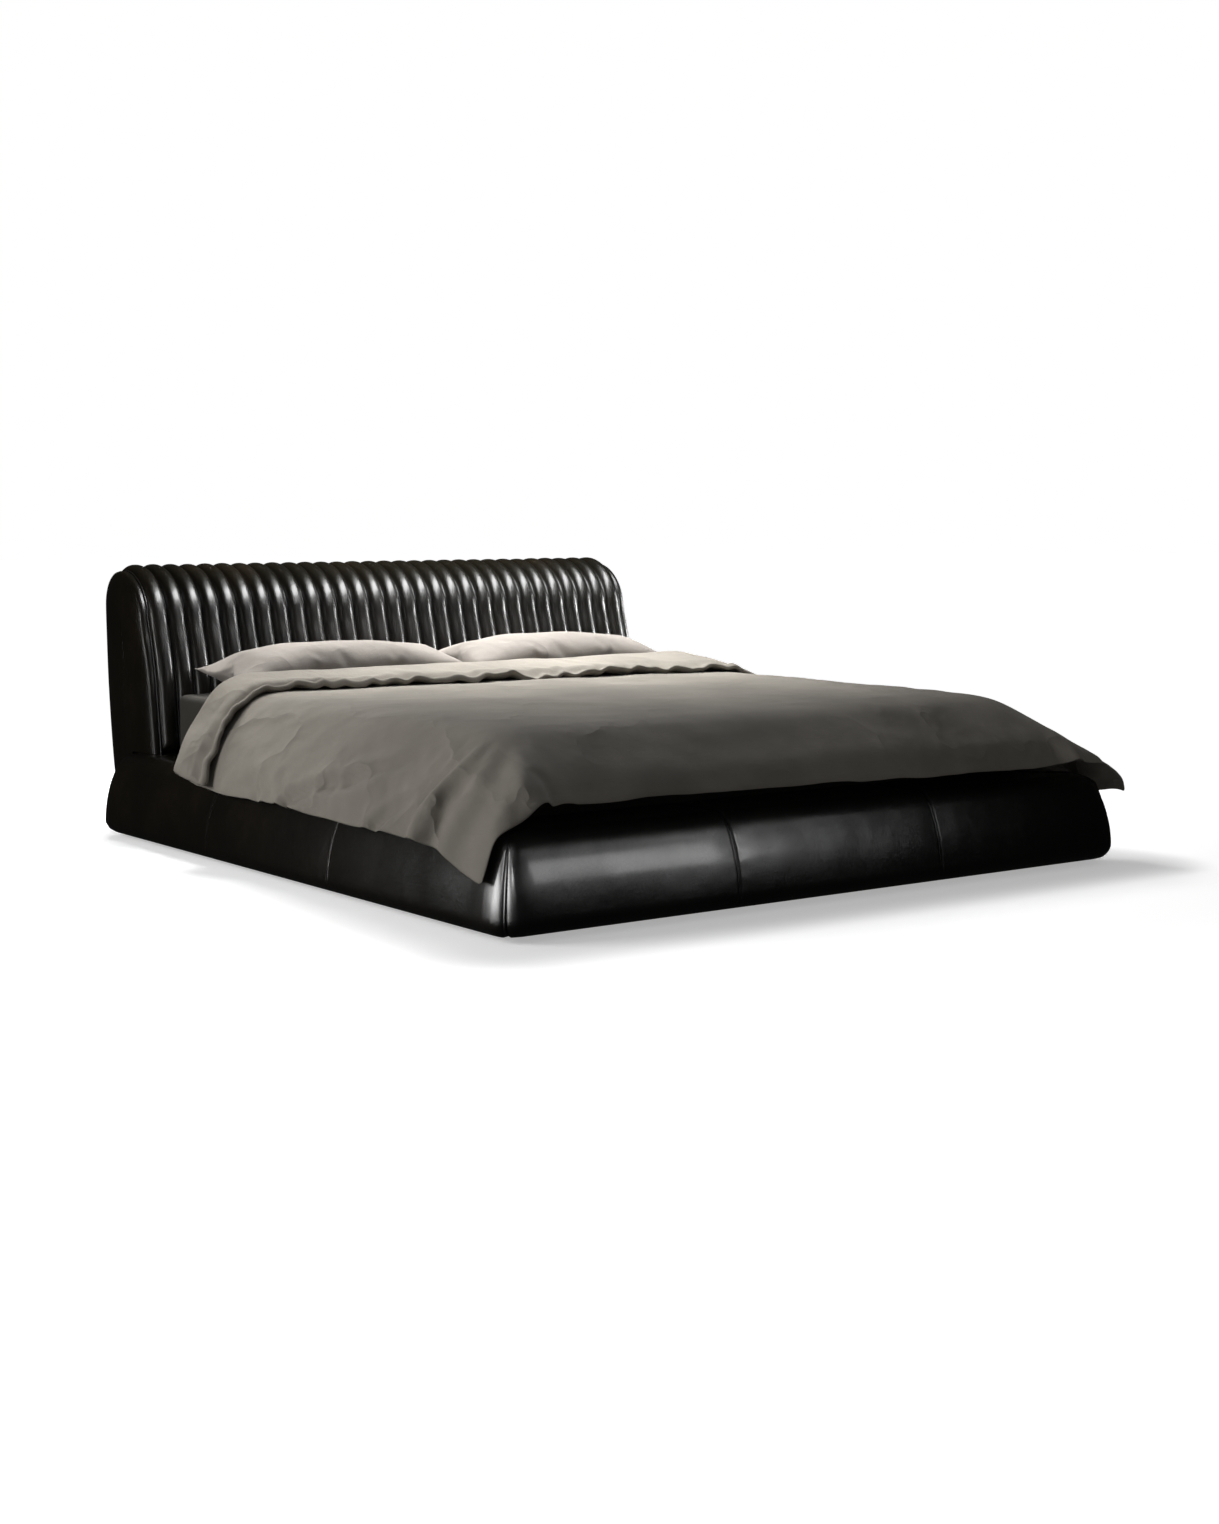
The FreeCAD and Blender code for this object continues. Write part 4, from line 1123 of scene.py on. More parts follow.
def mattress_rings():
    """From the middle of the underside, out, up the side and in across the top."""
    rings = [mattress_ring(inset, SLAT_TOP + 0.0006) for inset in (0.8, 0.4, 0.12, 0.04)]
    edge = EDGE_ROUND_DOWN
    for angle in range(0, 91, 18):
        turn = math.radians(angle)
        rings.append(mattress_ring(0.002 + edge * (1 - math.sin(turn)),
                                   SLAT_TOP + edge * (1 - math.cos(turn))))
    for share in (0.2, 0.5, 0.8):
        rings.append(mattress_ring(0.002, SLAT_TOP + edge + share * 0.218))
    for angle in range(90, -1, -18):
        turn = math.radians(angle)
        rings.append(mattress_ring(0.002 + edge * (1 - math.sin(turn)),
                                   MATTRESS_TOP - edge * (1 - math.cos(turn))))
    rings += [mattress_ring(inset, MATTRESS_TOP - 0.0006) for inset in (0.04, 0.12, 0.4, 0.8)]
    return rings


ticked = from_rings("mattress_in_ticking", mattress_rings(), TICKING, body="mattress_unit")
stands_for(ticked, ["mattress"])
for level, name in ((SLAT_TOP + 0.016, "low"), (MATTRESS_TOP - 0.016, "high")):
    path = [Vector(p) for p in mattress_ring(0.0045, level)]
    tape = tube(f"tape_edge_{name}", path, 0.0035, TICKING, sides=6, loop=True, body="mattress_unit")


# %% The fitted sheet, a skin round the mattress
SHEET_THICK = 0.0011


def sheet_ring(inset, height, out):
    """One ring of the sheet; out is 1 on its face and 0 on the side that touches the mattress."""
    ring = []
    for p in mattress_outline(inset):
        y = p.y + MIDDLE_Y
        low = ramp(MATTRESS_TOP, height, 0.22)
        run = math.atan2(p.y / HALF_LENGTH, p.x / MATTRESS_HALF)
        tension = max(0, swell(math.cos(run) * 3, math.sin(run) * 3, height, 4.2, 1.1))
        corner = min(HALF_LENGTH - abs(p.y), MATTRESS_HALF - abs(p.x)) < 0.2
        fold = 0.004 * low * tension + 0.002 * max(0, math.sin(run * 46)) * low * corner
        lift = 0.0012 * max(0, swell(p.x, y, 0, 3.5, 7.7)) * (1 - low)
        grow = (0.0006 + fold) + out * SHEET_THICK
        away = p.normalized() if inset < 0.03 else Vector((0, 0))
        ring.append((p.x + away.x * grow, y + away.y * grow, height + lift + out * SHEET_THICK))
    return ring


def sheet_rings():
    edge = EDGE_ROUND_DOWN
    profile = [(inset, MATTRESS_TOP) for inset in (0.85, 0.6, 0.4, 0.25, 0.14, 0.07, 0.035)]
    for angle in range(0, 91, 15):
        turn = math.radians(angle)
        profile.append((edge * (1 - math.sin(turn)), MATTRESS_TOP - edge * (1 - math.cos(turn))))
    for share in (0.1, 0.25, 0.4, 0.6, 0.8, 1.0):
        profile.append((0.0, MATTRESS_TOP - edge - share * 0.234))
    rings = [sheet_ring(inset, height, 1) for inset, height in profile]
    rings += [sheet_ring(inset, height, 0) for inset, height in reversed(profile)]
    return rings


# The sheet's dark finish is painted shade.
fitted = from_rings("fitted_sheet_cloth", sheet_rings(), SHEETING_PAINTED_SHADE, body="mattress_unit")
stands_for(fitted, ["fitted_sheet"])

# %% [markdown]
# ## Pillows
#
# A pillow is two flat panels sewn together and stuffed. Its middle swells, its sides pull in between
# the corners, and short creases run in from the seam because the cloth there is too long for the
# shape. The real thing takes that shape by being filled, so here a flat bag is blown up in a short
# cloth simulation with no gravity. A modelled pillow would need each crease by hand.

# %% A flat bag, blown up
PILLOW_WIDTH = 1.0
PILLOW_DEPTH = 0.47


def flat_bag(name, wide, deep, gap, step=0.02):
    """Two layers of cloth, joined all round, as rings across the short way."""
    columns = round(wide / step)
    rows = round(deep / step)
    rings = []
    for i in range(columns + 1):
        x = -wide / 2 + wide * i / columns
        ring = []
        for layer in (1, -1):
            for j in range(rows + 1):
                share = j / rows if layer > 0 else 1 - j / rows
                if layer < 0 and j in (0, rows):
                    continue
                y = -deep / 2 + deep * share
                ends = min(i, columns - i) > 0 and 0 < share < 1
                ring.append((x, y, layer * gap * ends))
        rings.append(ring)
    return from_rings(name, rings, CASING, body=None)


def blow_up(bag, pressure, frames, stiffness):
    """Inflates the bag as cloth, and keeps the shape it reaches."""
    cloth = bag.modifiers.new("filling", "CLOTH")
    settings = cloth.settings
    settings.quality = 6
    settings.mass = 0.25
    settings.tension_stiffness = stiffness
    settings.compression_stiffness = stiffness
    settings.shear_stiffness = stiffness / 2
    settings.bending_stiffness = 0.08
    settings.use_pressure = True
    settings.uniform_pressure_force = pressure
    settings.effector_weights.gravity = 0
    run_cloth(bag, cloth, frames)


def run_cloth(piece, cloth, frames):
    """Plays a simulation frame by frame and keeps the last shape."""
    cloth.point_cache.frame_start = 1
    cloth.point_cache.frame_end = frames
    scene = bpy.context.scene
    for number in range(1, frames + 1):
        scene.frame_set(number)
    keep_shape(piece)
    scene.frame_set(1)


def keep_shape(piece):
    """Swaps the piece's mesh for what its modifiers make of it."""
    graph = bpy.context.evaluated_depsgraph_get()
    shaped = bpy.data.meshes.new_from_object(piece.evaluated_get(graph))
    old = piece.data
    piece.modifiers.clear()
    piece.data = shaped
    bpy.data.meshes.remove(old)


def fit_to(piece, size):
    """Scales the mesh about its middle to a given size."""
    points = [v.co for v in piece.data.vertices]
    low = Vector([min(p[k] for p in points) for k in range(3)])
    high = Vector([max(p[k] for p in points) for k in range(3)])
    middle = (low + high) / 2
    for vertex in piece.data.vertices:
        for k in range(3):
            vertex.co[k] = (vertex.co[k] - middle[k]) * size[k] / (high[k] - low[k])


def finer(piece):
    """One round of subdivision, applied."""
    modifier = piece.modifiers.new("finer", "SUBSURF")
    modifier.levels = 1
    modifier.render_levels = 1
    keep_shape(piece)
    piece.data.shade_smooth()


# %% Two pillows, each laid on the mattress
PILLOW_SIZE = (0.88, 0.42, 0.2)
FLAP_START = 0.325          # from the pillow's middle to where the filling ends
FLAP_RUN = 0.115
UNDER = -0.092              # the pillow's lowest part, from its middle


def pillow(name, node, flap_side, seed, tilt):
    """Fills a bag, lays its flap flat and rests it on the mattress, tilted a little."""
    low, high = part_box(node)
    bag = flat_bag(name, PILLOW_WIDTH, PILLOW_DEPTH, 0.008)
    blow_up(bag, pressure=4.0, frames=22, stiffness=12)
    fit_to(bag, PILLOW_SIZE)
    middle = (low + high) / 2
    for vertex in bag.data.vertices:
        x, y, z = vertex.co
        # the open end of the pillowcase has no filling, so it lies flat and droops
        flat = ease(x * flap_side, FLAP_START, FLAP_RUN)
        z *= 1 - 0.75 * flat
        x += flap_side * (0.012 * flat - 0.018)
        z += 0.004 * swell(x, y, 0, 7, seed) + 0.006 * flat * math.sin(y * 34 + seed)
        # the weight of the pillow flattens it where it lies
        rest_gap = z - UNDER
        if rest_gap < 0.03:
            z = UNDER + 0.03 * math.exp(min(rest_gap - 0.03, 0) / 0.03) * 0.6 + 0.012
        lean = (y / 0.21) * tilt
        vertex.co = (middle.x + x, middle.y + y, low.z + 0.086 + z + lean)
    lowest = min(v.co.z for v in bag.data.vertices)
    for vertex in bag.data.vertices:
        vertex.co.z += low.z + 0.0005 - lowest
    finer(bag)
    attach(bag, node.split("_")[1] + "_pillow")
    print(f"{name}: top at {max(v.co.z for v in bag.data.vertices):.3f} m")
    return stands_for(bag, [node])


pillow("pillow_in_case_left", "pillow_left", -1, 1.0, 0.004)
pillow("pillow_in_case_right", "pillow_right", 1, 5.0, 0.002)

# %% [markdown]
# ## The duvet
#
# A duvet is a soft, fairly stiff blanket of even thickness. It lies flat on the mattress, slopes down
# over the padded rails and hangs in loose points at the foot corners, where it has more cloth than
# the shape below needs. It is dropped as a flat sheet on a smooth hull of the mattress and rails in a
# cloth simulation. The layer that comes out is then given its thickness, thin at the hem and full
# inside it, and the head end is folded back over itself.

# %% The hull that the duvet falls on
DUVET_HALF = 1.325
DUVET_FOOT = -1.335
DUVET_SHIFT = 0.012         # it lies a little to the right
DUVET_SLANT = 0.03          # and hangs lower at the right of the foot
DUVET_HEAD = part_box("duvet")[1].y
LAYER = 0.021               # from the hull to the middle of the duvet


def hull_rings():
    """Outset from the mattress at each height: the slope to the rail, then the rail's face."""
    top = MATTRESS_TOP + 0.0015
    rings = []
    # outset at the sides, outset at the foot, height, corner radius
    shape = (
        (-0.6, -0.6, top, 0.02), (-0.12, -0.12, top, 0.05), (-0.05, -0.05, top - 0.003, 0.06),
        (-0.008, -0.004, top - 0.014, 0.07), (0.022, 0.04, top - 0.038, 0.08),
        (0.095, 0.165, 0.372, 0.09), (0.15, 0.25, 0.3, 0.1), (0.19, 0.272, 0.234, 0.1),
        (0.2, 0.283, 0.19, 0.09), (0.216, 0.302, 0.12, 0.08), (0.22, 0.31, 0.058, 0.07),
        (0.22, 0.31, 0.0, 0.07),
    )
    for side, foot, height, radius in shape:
        flat = round_rectangle(MATTRESS_HALF + side, HALF_LENGTH + (side + foot) / 2, radius)
        middle = MIDDLE_Y - (foot - side) / 2
        rings.append([(p.x, p.y + middle, height) for p in flat])
    return rings


def flat_sheet(step):
    """The duvet laid flat: rows across the bed, from the foot to the head."""
    columns = round(2 * DUVET_HALF / step)
    rows = round((DUVET_HEAD - DUVET_FOOT) / step)
    grid = []
    for j in range(rows + 1):
        share = j / rows
        near_head = max((share - 0.75) / 0.25, 0)
        half = DUVET_HALF - 0.05 * near_head ** 2
        row = []
        for i in range(columns + 1):
            across = 2 * i / columns - 1
            x = half * across + DUVET_SHIFT
            foot = DUVET_FOOT - DUVET_SLANT * across - 0.035 * across ** 4
            head = DUVET_HEAD - 0.055 * abs(across) ** 5
            y = foot + (head - foot) * share
            bumps = 0.004 * swell(x, y, 0, 5, 3.3)
            row.append(Vector((x, y, MATTRESS_TOP + LAYER + 0.006 + bumps)))
        grid.append(row)
    return grid


def drop(grid, frames):
    """Drapes the grid over the hull and returns the same rows of points where they came to rest."""
    hull = from_rings("duvet_hull", hull_rings(), BEDDING, body=None)
    hull.modifiers.new("hull", "COLLISION")
    hull.collision.thickness_outer = LAYER
    hull.collision.cloth_friction = 12
    mesh = bmesh.new()
    rows = [[mesh.verts.new(p) for p in row] for row in grid]
    for low, high in zip(rows, rows[1:]):
        for i in range(len(low) - 1):
            mesh.faces.new((low[i], low[i + 1], high[i + 1], high[i]))
    layer = piece_from("duvet_layer", mesh, BEDDING, None)
    held = layer.vertex_groups.new(name="held")
    count = len(grid[0])
    for j in range(len(grid) - 2, len(grid)):
        for i in range(count):
            if abs(grid[j][i].x) < MATTRESS_HALF - 0.05:
                held.add([j * count + i], 1.0, "REPLACE")
    cloth = layer.modifiers.new("drape", "CLOTH")
    settings = cloth.settings
    settings.vertex_group_mass = "held"
    settings.quality = 7
    settings.mass = 0.5
    settings.air_damping = 2.0
    settings.tension_stiffness = 18
    settings.compression_stiffness = 18
    settings.shear_stiffness = 6
    settings.bending_stiffness = 6.0
    settings.bending_damping = 1.0
    settings.shrink_min = -0.012
    cloth.collision_settings.collision_quality = 3
    cloth.collision_settings.distance_min = 0.004
    run_cloth(layer, cloth, frames)
    points = [v.co.copy() for v in layer.data.vertices]
    for piece in (layer, hull):
        bpy.data.objects.remove(piece)
    return [points[j * count:(j + 1) * count] for j in range(len(grid))]


# %% [markdown]
# What falls from the simulation hangs a little too low at the foot and sides, since real cloth is cut
# to suit the bed. A tailor would turn the hem up. Here each line of points is cut where it crosses the
# hem's level, and its points are spread along what is left, which keeps the grid whole.

# %% Trimming: a level hem along the foot, and a head edge that is drawn back at the sides
HEM_LEVEL = 0.315
SIDE_HEM_LEVEL = 0.236
HEAD_DRAWN_BACK = 0.075


def part_way(line, index):
    """The place on a line of points at an index that needn't be whole."""
    below = min(int(index), len(line) - 2)
    return line[below].lerp(line[below + 1], index - below)


def steps_below(line, level):
    """How many steps from the line's start lie under a level, counted with the last part step."""
    first = next((i for i in range(len(line) - 1) if line[i].z > level), 0)
    if not first:
        return 0
    rise = max(line[first].z - line[first - 1].z, 1e-4)
    return max(first - (line[first].z - level) / rise, 0)


def trimmed(rows, step):
    """Cuts every column of points at the hem's level and spreads its points again."""
    last = len(rows) - 1
    count = len(rows[0])
    columns = []
    for i in range(count):
        column = [row[i] for row in rows]
        across = 2 * i / (count - 1) - 1
        level = HEM_LEVEL + 0.012 * across + 0.009 * swell(across * 3.2, 0, 0, 1, 5.1)
        cut = steps_below(column, level) * (1 - ease(abs(across), 0.7, 0.24))
        head_cut = HEAD_DRAWN_BACK / step * ramp(abs(across), 0.62, 0.38) ** 1.5
        length = last - head_cut - cut
        columns.append([part_way(column, cut + length * j / last) for j in range(last + 1)])
    return [[column[j] for column in columns] for j in range(last + 1)]


def side_trimmed(rows, step):
    """Cuts each row at the level of the side hems, which wave a little, except at the foot corners."""
    last = len(rows[0]) - 1
    fresh = []
    for j, row in enumerate(rows):
        past_corner = ease(j * step, 0.1, 0.3)
        cuts = []
        for line, seed in ((row, 2.3), (row[::-1], 8.1)):
            level = SIDE_HEM_LEVEL + 0.016 * swell(0, j * step, 0, 4.2, seed)
            cuts.append(steps_below(line, level) * past_corner)
        length = last - cuts[0] - cuts[1]
        fresh.append([part_way(row, cuts[0] + length * i / last) for i in range(last + 1)])
    return fresh


TIP_LIFT = Vector((0.04, -0.005, 0.115))
TIP_WIDTH = 0.17


def lift_tip(rows, step):
    """The right foot corner juts out, held by the stiff seam of its hem."""
    count = len(rows[0])
    for j, row in enumerate(rows):
        for i, point in enumerate(row):
            reach = dip(math.hypot((count - 1 - i) * step, j * step), TIP_WIDTH)
            row[i] = point + TIP_LIFT * reach


# %% Soft folds: broad swells on top, longer ones down the sides, waves along the hems
def folds(x, y, z, to_hem):
    """How far the cloth stands out at a place, by its distance from the hem."""
    broad = 0.0045 * swell(x, y, z, 2.6, 12.0)
    ridge = 1 - abs(swell(x * 0.45, y + 0.3 * x, z * 0.6, 7.5, 21.0))
    long = 0.006 * max(ridge - 0.55, 0) * (1 + swell(x, y, z, 2.0, 2.2))
    hanging = dip(to_hem, 0.16)
    wave = 0.010 * swell(x * 1.1, y * 1.1, z * 0.25, 5.0, 31.0) * hanging
    small = 0.0022 * swell(x, y, z, 17, 40.0) * (0.35 + hanging)
    return broad + long + wave + small


# %% Creases: where the cloth was pressed, and where it gathers round the near foot corner
LEFT_CREASES = (
    # start and end along the left side, as Y and Z, and the depth
    ((-0.20, 0.255), (-0.37, 0.325), 0.022),
    ((-0.20, 0.255), (-0.12, 0.325), 0.016),
    ((-0.37, 0.325), (-0.60, 0.345), 0.016),
    ((-0.50, 0.35), (-0.78, 0.43), 0.014),
    ((-0.02, 0.25), (0.12, 0.36), 0.012),
    ((-0.72, 0.24), (-0.86, 0.33), 0.018),
)


NEAR_CORNER = Vector((-0.93, -1.03))


def crease(piece):
    """Presses each crease in, with a low ridge beside it, and waves the cloth round the corner."""
    for vertex in piece.data.vertices:
        x, y, z = vertex.co
        if x > -0.9:
            continue
        here = Vector((y, z))
        out = 0.0
        for start, end, depth in LEFT_CREASES:
            start, end = Vector(start), Vector(end)
            run = end - start
            share = ramp((here - start).dot(run), 0, run.length_squared)
            gap = (here - start - run * share).length
            fade = 1 - 0.7 * share
            out += fade * depth * (0.5 * dip(gap - 0.036, 0.02) - dip(gap, 0.016))
        from_corner = Vector((x, y)) - NEAR_CORNER
        if from_corner.y < 0.1:
            angle = math.atan2(from_corner.y, from_corner.x)
            reach = ramp(from_corner.length, 0.06, 0.2)
            out += 0.009 * reach * math.sin(angle * 11 + 1.5 * math.sin(z * 9))
        vertex.co += Vector((-0.8, -0.3 if y < -1.0 else 0.0, 0.5)) * out


# %% Which way the cloth faces at each point
def grid_normals(rows):
    """A unit normal at each point of the grid, from its neighbours on both sides."""
    found = []
    for j, row in enumerate(rows):
        line = []
        for i in range(len(row)):
            across = row[min(i + 1, len(row) - 1)] - row[max(i - 1, 0)]
            along = rows[min(j + 1, len(rows) - 1)][i] - rows[max(j - 1, 0)][i]
            line.append(across.cross(along).normalized())
        found.append(line)
    return found


def even_normals(rows, rounds):
    """Averages neighbouring normals, so that a thick layer doesn't cross itself in a crease."""
    for _ in range(rounds):
        fresh = []
        for j, row in enumerate(rows):
            line = []
            for i in range(len(row)):
                total = row[i] * 2 + row[max(i - 1, 0)] + row[min(i + 1, len(row) - 1)]
                total += rows[max(j - 1, 0)][i] + rows[min(j + 1, len(rows) - 1)][i]
                line.append(total.normalized())
            fresh.append(line)
        rows = fresh
    return rows


# %% The folded head end: a roll, then a layer that lies back on the duvet
ROLL_RISE = 0.056           # between the middles of the two layers, at the roll
HEM_RISE = 0.031            # and at the fold's free edge
ROLL_ROWS = 6
FOLD_ROWS = 16
FOLD_ROW = 0.016            # about how far apart the fold's rows lie


def gathers(across, share):
    """Pleats at the fold's free edge and ropes of cloth along it, both from about -1 to 1."""
    pleats = math.sin(across * 62 + 6 * swell(across, 0, 0, 6, 1.2))
    pleats += 0.7 * math.sin(across * 118 + 4 * swell(across, 1, 0, 9, 4.2))
    ropes = math.sin(share * 21 + 4 * swell(across, share, 0, 3.1, 7.7))
    return pleats, ropes


def fold_back(rows, normals, step):
    """Adds the roll at the head and the folded layer that lies on the duvet behind it."""
    count = len(rows[0])
    head = rows[-1]
    up = normals[-1]
    added = []
    added_normals = []
    for k in range(1, ROLL_ROWS + 1):
        angle = math.pi * k / ROLL_ROWS
        line, lean = [], []
        for i in range(count):
            rise = ROLL_RISE * (1 - math.cos(angle)) / 2
            push = ROLL_RISE * 0.5 * math.sin(angle)
            wavy = 0.004 * swell(head[i].x, k * 0.2, 0, 5, 2.0)
            line.append(head[i] + up[i] * rise + Vector((0, push + wavy, 0)))
            turned = up[i] * math.cos(angle) + Vector((0, math.sin(angle), 0))
            lean.append(turned.normalized())
        added.append(line)
        added_normals.append(lean)
    for k in range(1, FOLD_ROWS + 1):
        share = k / FOLD_ROWS
        line, lean = [], []
        for i in range(count):
            across = i / (count - 1)
            depth = 0.2 + 0.22 * across ** 1.2
            depth -= 0.05 * math.sin(min(across / 0.3, 1) * math.pi / 2)
            back = share * depth / step
            index = max(len(rows) - 1 - back, 0)
            below, part = int(index), index - int(index)
            above = min(below + 1, len(rows) - 1)
            point = rows[below][i].lerp(rows[above][i], part)
            normal = normals[below][i].lerp(normals[above][i], part).normalized()
            rise = ROLL_RISE - (ROLL_RISE - HEM_RISE) * share
            near_hem = dip(1 - share, 0.3)
            pleats, ropes = gathers(head[i].x, share)
            rise += 0.009 * near_hem * pleats + 0.012 * near_hem * ropes
            rise += 0.006 * swell(point.x, point.y, 0, 6, 9.9)
            shift = 0.02 * swell(head[i].x, share, 0, 3.5, 6.6) * share
            line.append(point + normal * rise + Vector((0, shift, 0)))
            lean.append(normal * -1)
        added.append(line)
        added_normals.append(lean)
    return rows + added, normals + added_normals


# %% Thickness: a flat double hem, then the filling
HEM_WIDTH = 0.012
HEM_THICK = 0.0045
FILL_THICK = 0.0295         # what the filling adds
FILL_RUN = 0.11             # from the hem to where it is full
FOLD_THICK = 0.017          # the folded layer is never thinner than this


def thickness(from_hem):
    """The layer's thickness at a distance from the nearest edge."""
    full = ramp(from_hem, HEM_WIDTH, FILL_RUN)
    return HEM_THICK + FILL_THICK * math.sin(full * math.pi / 2) ** 0.8


def thick_rings(rows, normals, fold_from, step):
    """Closed rings across the duvet: its upper face from left to right, then its lower face."""
    count = len(rows[0])
    last = len(rows) - 1
    rings = []
    for j, (row, lean) in enumerate(zip(rows, normals)):
        upper, lower = [], []
        for i in range(count):
            to_side = min(i, count - 1 - i) * step
            to_foot = j * step
            to_fold = (last - j) * FOLD_ROW
            loft = thickness(min(to_side, to_foot, to_fold))
            loft *= 1 + 0.14 * swell(row[i].x, row[i].y, row[i].z, 4.5, 1.9)
            if j >= fold_from:
                loft = max(loft * 0.85, FOLD_THICK)
            half = lean[i] * (loft / 2)
            upper.append(row[i] + half)
            lower.append(row[i] - half)
        rings.append(upper + lower[::-1])
    return rings


# %% Drape it, trim it, fold it and thicken it
STEP = 0.026
DRAPE_FRAMES = 60
flat_rows = flat_sheet(STEP)
laid_rows = drop(flat_rows, DRAPE_FRAMES)
laid_rows = side_trimmed(trimmed(laid_rows, STEP), STEP)
lift_tip(laid_rows, STEP)
print(f"duvet: {len(flat_rows)} rows of {len(flat_rows[0])} points")
layer_normals = even_normals(grid_normals(laid_rows), 3)
base_rows = len(laid_rows)
for j, row in enumerate(laid_rows):
    for i, point in enumerate(row):
        to_hem = min(i, len(row) - 1 - i, j) * STEP
        row[i] = point + layer_normals[j][i] * folds(point.x, point.y, point.z, to_hem)
all_rows, all_normals = fold_back(laid_rows, layer_normals, STEP)
duvet_rings = thick_rings(all_rows, all_normals, base_rows, STEP)
duvet = from_rings("duvet_in_cover", duvet_rings, BEDDING, body=None, flat_layer=True)
finer(duvet)
crease(duvet)
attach(duvet, "duvet_unit")
stands_for(duvet, ["duvet"])

# %% [markdown]
# ## Floor, light and camera
#
# The bed stands on a pale studio floor that runs up to a white background. Glossy black leather shows
# its lights as streaks, so the lights are a few large soft boxes, placed where their reflections fall
# on the channels, on the corner and along the foot rail. The sky is white to the camera and dim to
# everything else.


# %% Floor, which shines with painted light that is dimmed round the bed as a painted shadow
def floor_with_painted_glow_and_shadow():
    """Pale, and shining with painted light of its own, which is weaker under and beside the bed as a
    painted contact shadow.
    """
    finish = Finish("studio_floor", Specular_IOR_Level=0.2, Emission_Strength=0.9)
    specks = finish.clouds(40, 3)
    colour = finish.blend(specks, (0.86, 0.86, 0.86), (0.9, 0.9, 0.9))
    past_x = finish.along(0).size() - HALF_WIDTH
    past_y = finish.along(1).size() - cad_box[1].y
    gap_x = past_x.most(0)
    gap_y = past_y.most(0)
    away = gap_x * gap_x + gap_y * gap_y
    # Painted light: the floor's own emission, dimmed near the bed as a painted shadow and rising to full
    # white further out.
    painted_glow_and_shadow = finish.blend(away.rise(0.0, 0.1), (0.42, 0.42, 0.42), (0.8, 0.8, 0.8))
    painted_glow_and_shadow = finish.blend(away.rise(0.0, 2.2), painted_glow_and_shadow, (1, 1, 1))
    finish.set(Base_Color=colour, Roughness=0.6 + specks * 0.2, Emission_Color=painted_glow_and_shadow)
    return finish.material


FLOOR_HALF = 40
floor_mesh = bmesh.new()
bmesh.ops.create_grid(floor_mesh, x_segments=8, y_segments=8, size=FLOOR_HALF)
floor = piece_from("studio_floor", floor_mesh, floor_with_painted_glow_and_shadow(), None)
floor.visible_glossy = False
floor.visible_diffuse = False


# %% Soft boxes: where each one stands, what it faces, its width, height and power
def soft_box(name, place, target, width, height, power, seen_by, grid=180):
    """seen_by is gloss for a box that only reflects, or cloth for one that only lights.
    A grid on its face narrows its light to an angle in degrees."""
    lamp = bpy.data.lights.new(name, "AREA")
    lamp.shape = "RECTANGLE"
    lamp.size = width
    lamp.size_y = height
    lamp.energy = power
    lamp.spread = math.radians(grid)
    holder = bpy.data.objects.new(name, lamp)
    holder.location = place
    aim = Vector(target) - Vector(place)
    holder.rotation_euler = aim.to_track_quat("-Z", "Y").to_euler()
    holder.visible_diffuse = seen_by != "gloss"
    holder.visible_glossy = seen_by != "cloth"
    holder.visible_camera = False
    bpy.context.collection.objects.link(holder)


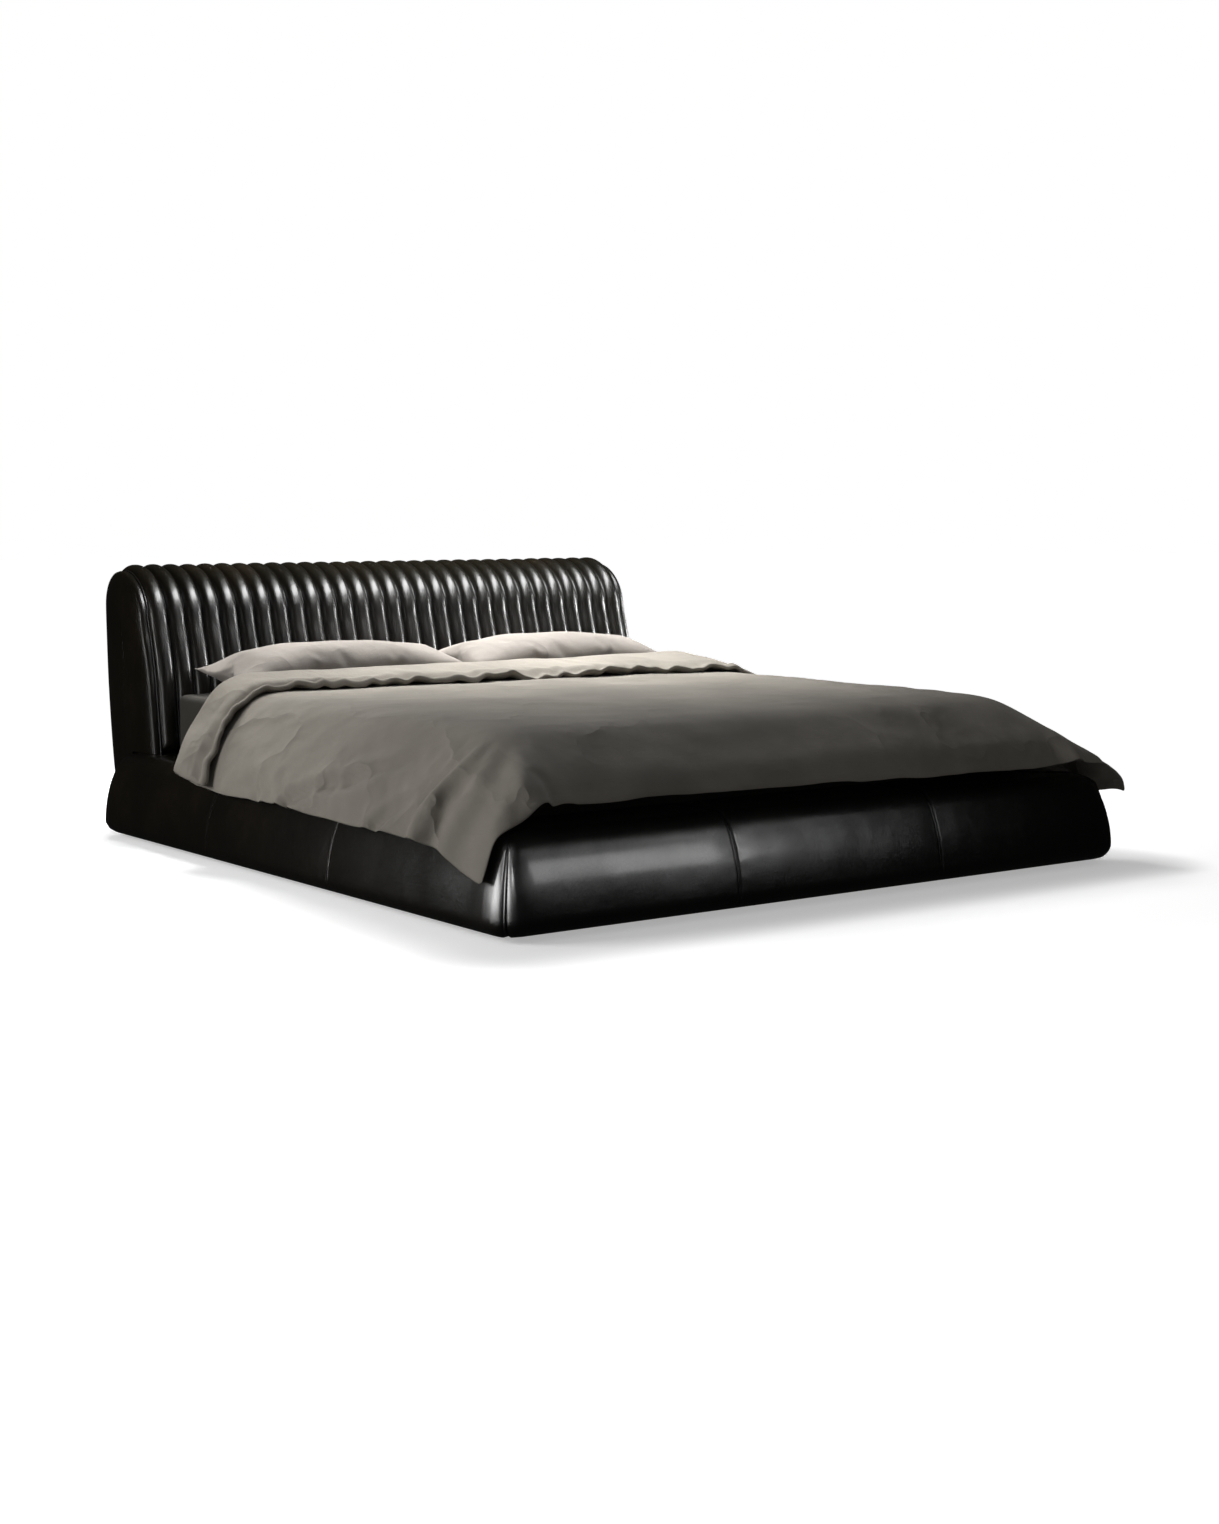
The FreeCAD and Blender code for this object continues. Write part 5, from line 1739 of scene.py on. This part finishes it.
soft_box("overhead", (0.2, 1.35, 2.15), (0, 1.0, 0.4), 2.6, 0.6, 80, "cloth", 100)
soft_box("crest_box", (0.7, 0.15, 2.6), (0.2, 1.15, 0.85), 2.4, 0.8, 120, "gloss")
soft_box("left_bank", (-4.2, 0.3, 1.5), (-0.6, -0.3, 0.4), 1.8, 1.6, 92, "cloth")
soft_box("left_strip", (-4.3, 0.7, 1.2), (0.0, 1.1, 0.7), 0.3, 0.8, 4, "gloss", 90)
soft_box("right_strip", (4.4, -0.1, 1.1), (0.0, 1.05, 0.7), 0.35, 1.2, 16, "gloss", 60)
soft_box("low_bank", (-2.75, -1.35, 0.5), (-1.1, -1.45, 0.2), 2.7, 0.7, 34, "gloss", 96)
soft_box("corner_box", (-2.3, -3.0, 1.2), (-1.15, -1.35, 0.15), 0.6, 0.5, 1.3, "gloss", 40)
soft_box("foot_bank", (1.1, -3.5, 1.35), (-0.5, -1.37, 0.2), 0.7, 0.8, 1.9, "gloss", 56)

boxes = [thing for thing in bpy.data.objects if thing.type == "LIGHT"]
print(len(boxes), "soft boxes,", round(sum(box.data.energy for box in boxes)), "watts in all")

# %% The room: white to the camera, dim to the cloth, and nearly dark in reflections
world = bpy.data.worlds.new("studio")
world.use_nodes = True
bpy.context.scene.world = world
tree = world.node_tree
tree.nodes.remove(tree.nodes["Background"])


def room(grey, strength):
    """A plain surround of one grey."""
    surround = tree.nodes.new("ShaderNodeBackground")
    surround.inputs["Color"].default_value = (grey, grey, grey, 1)
    surround.inputs["Strength"].default_value = strength
    return surround.outputs[0]


def choose(is_ray, other, this):
    """One surround for the rays that are asked about, and another for the rest."""
    mix = tree.nodes.new("ShaderNodeMixShader")
    for socket, link in enumerate((is_ray, other, this)):
        tree.links.new(link, mix.inputs[socket])
    return mix.outputs[0]


ray = tree.nodes.new("ShaderNodeLightPath").outputs
unseen = choose(ray["Is Glossy Ray"], room(1, 0.14), room(0.8, 0.012))
surround = choose(ray["Is Camera Ray"], unseen, room(1, 1))
tree.links.new(surround, tree.nodes["World Output"].inputs["Surface"])
print("the room is ready:", len(tree.nodes), "nodes")

# %% Camera, a little above the bed, off its near left corner
EYE = Vector((-4.3368, -6.1018, 1.1257))
HEADING = math.radians(53.551)
PITCH_DOWN = math.radians(6.452)
camera = bpy.data.objects.new("camera", bpy.data.cameras.new("camera"))
camera.data.lens = 53.06
camera.data.sensor_width = 36
camera.location = EYE
look = Vector((
    math.cos(HEADING) * math.cos(PITCH_DOWN),
    math.sin(HEADING) * math.cos(PITCH_DOWN),
    -math.sin(PITCH_DOWN),
))
camera.rotation_euler = look.to_track_quat("-Z", "Y").to_euler()
bpy.context.collection.objects.link(camera)
bpy.context.scene.camera = camera
bpy.context.scene.view_settings.view_transform = "Standard"
print("camera at", [round(v, 2) for v in EYE])
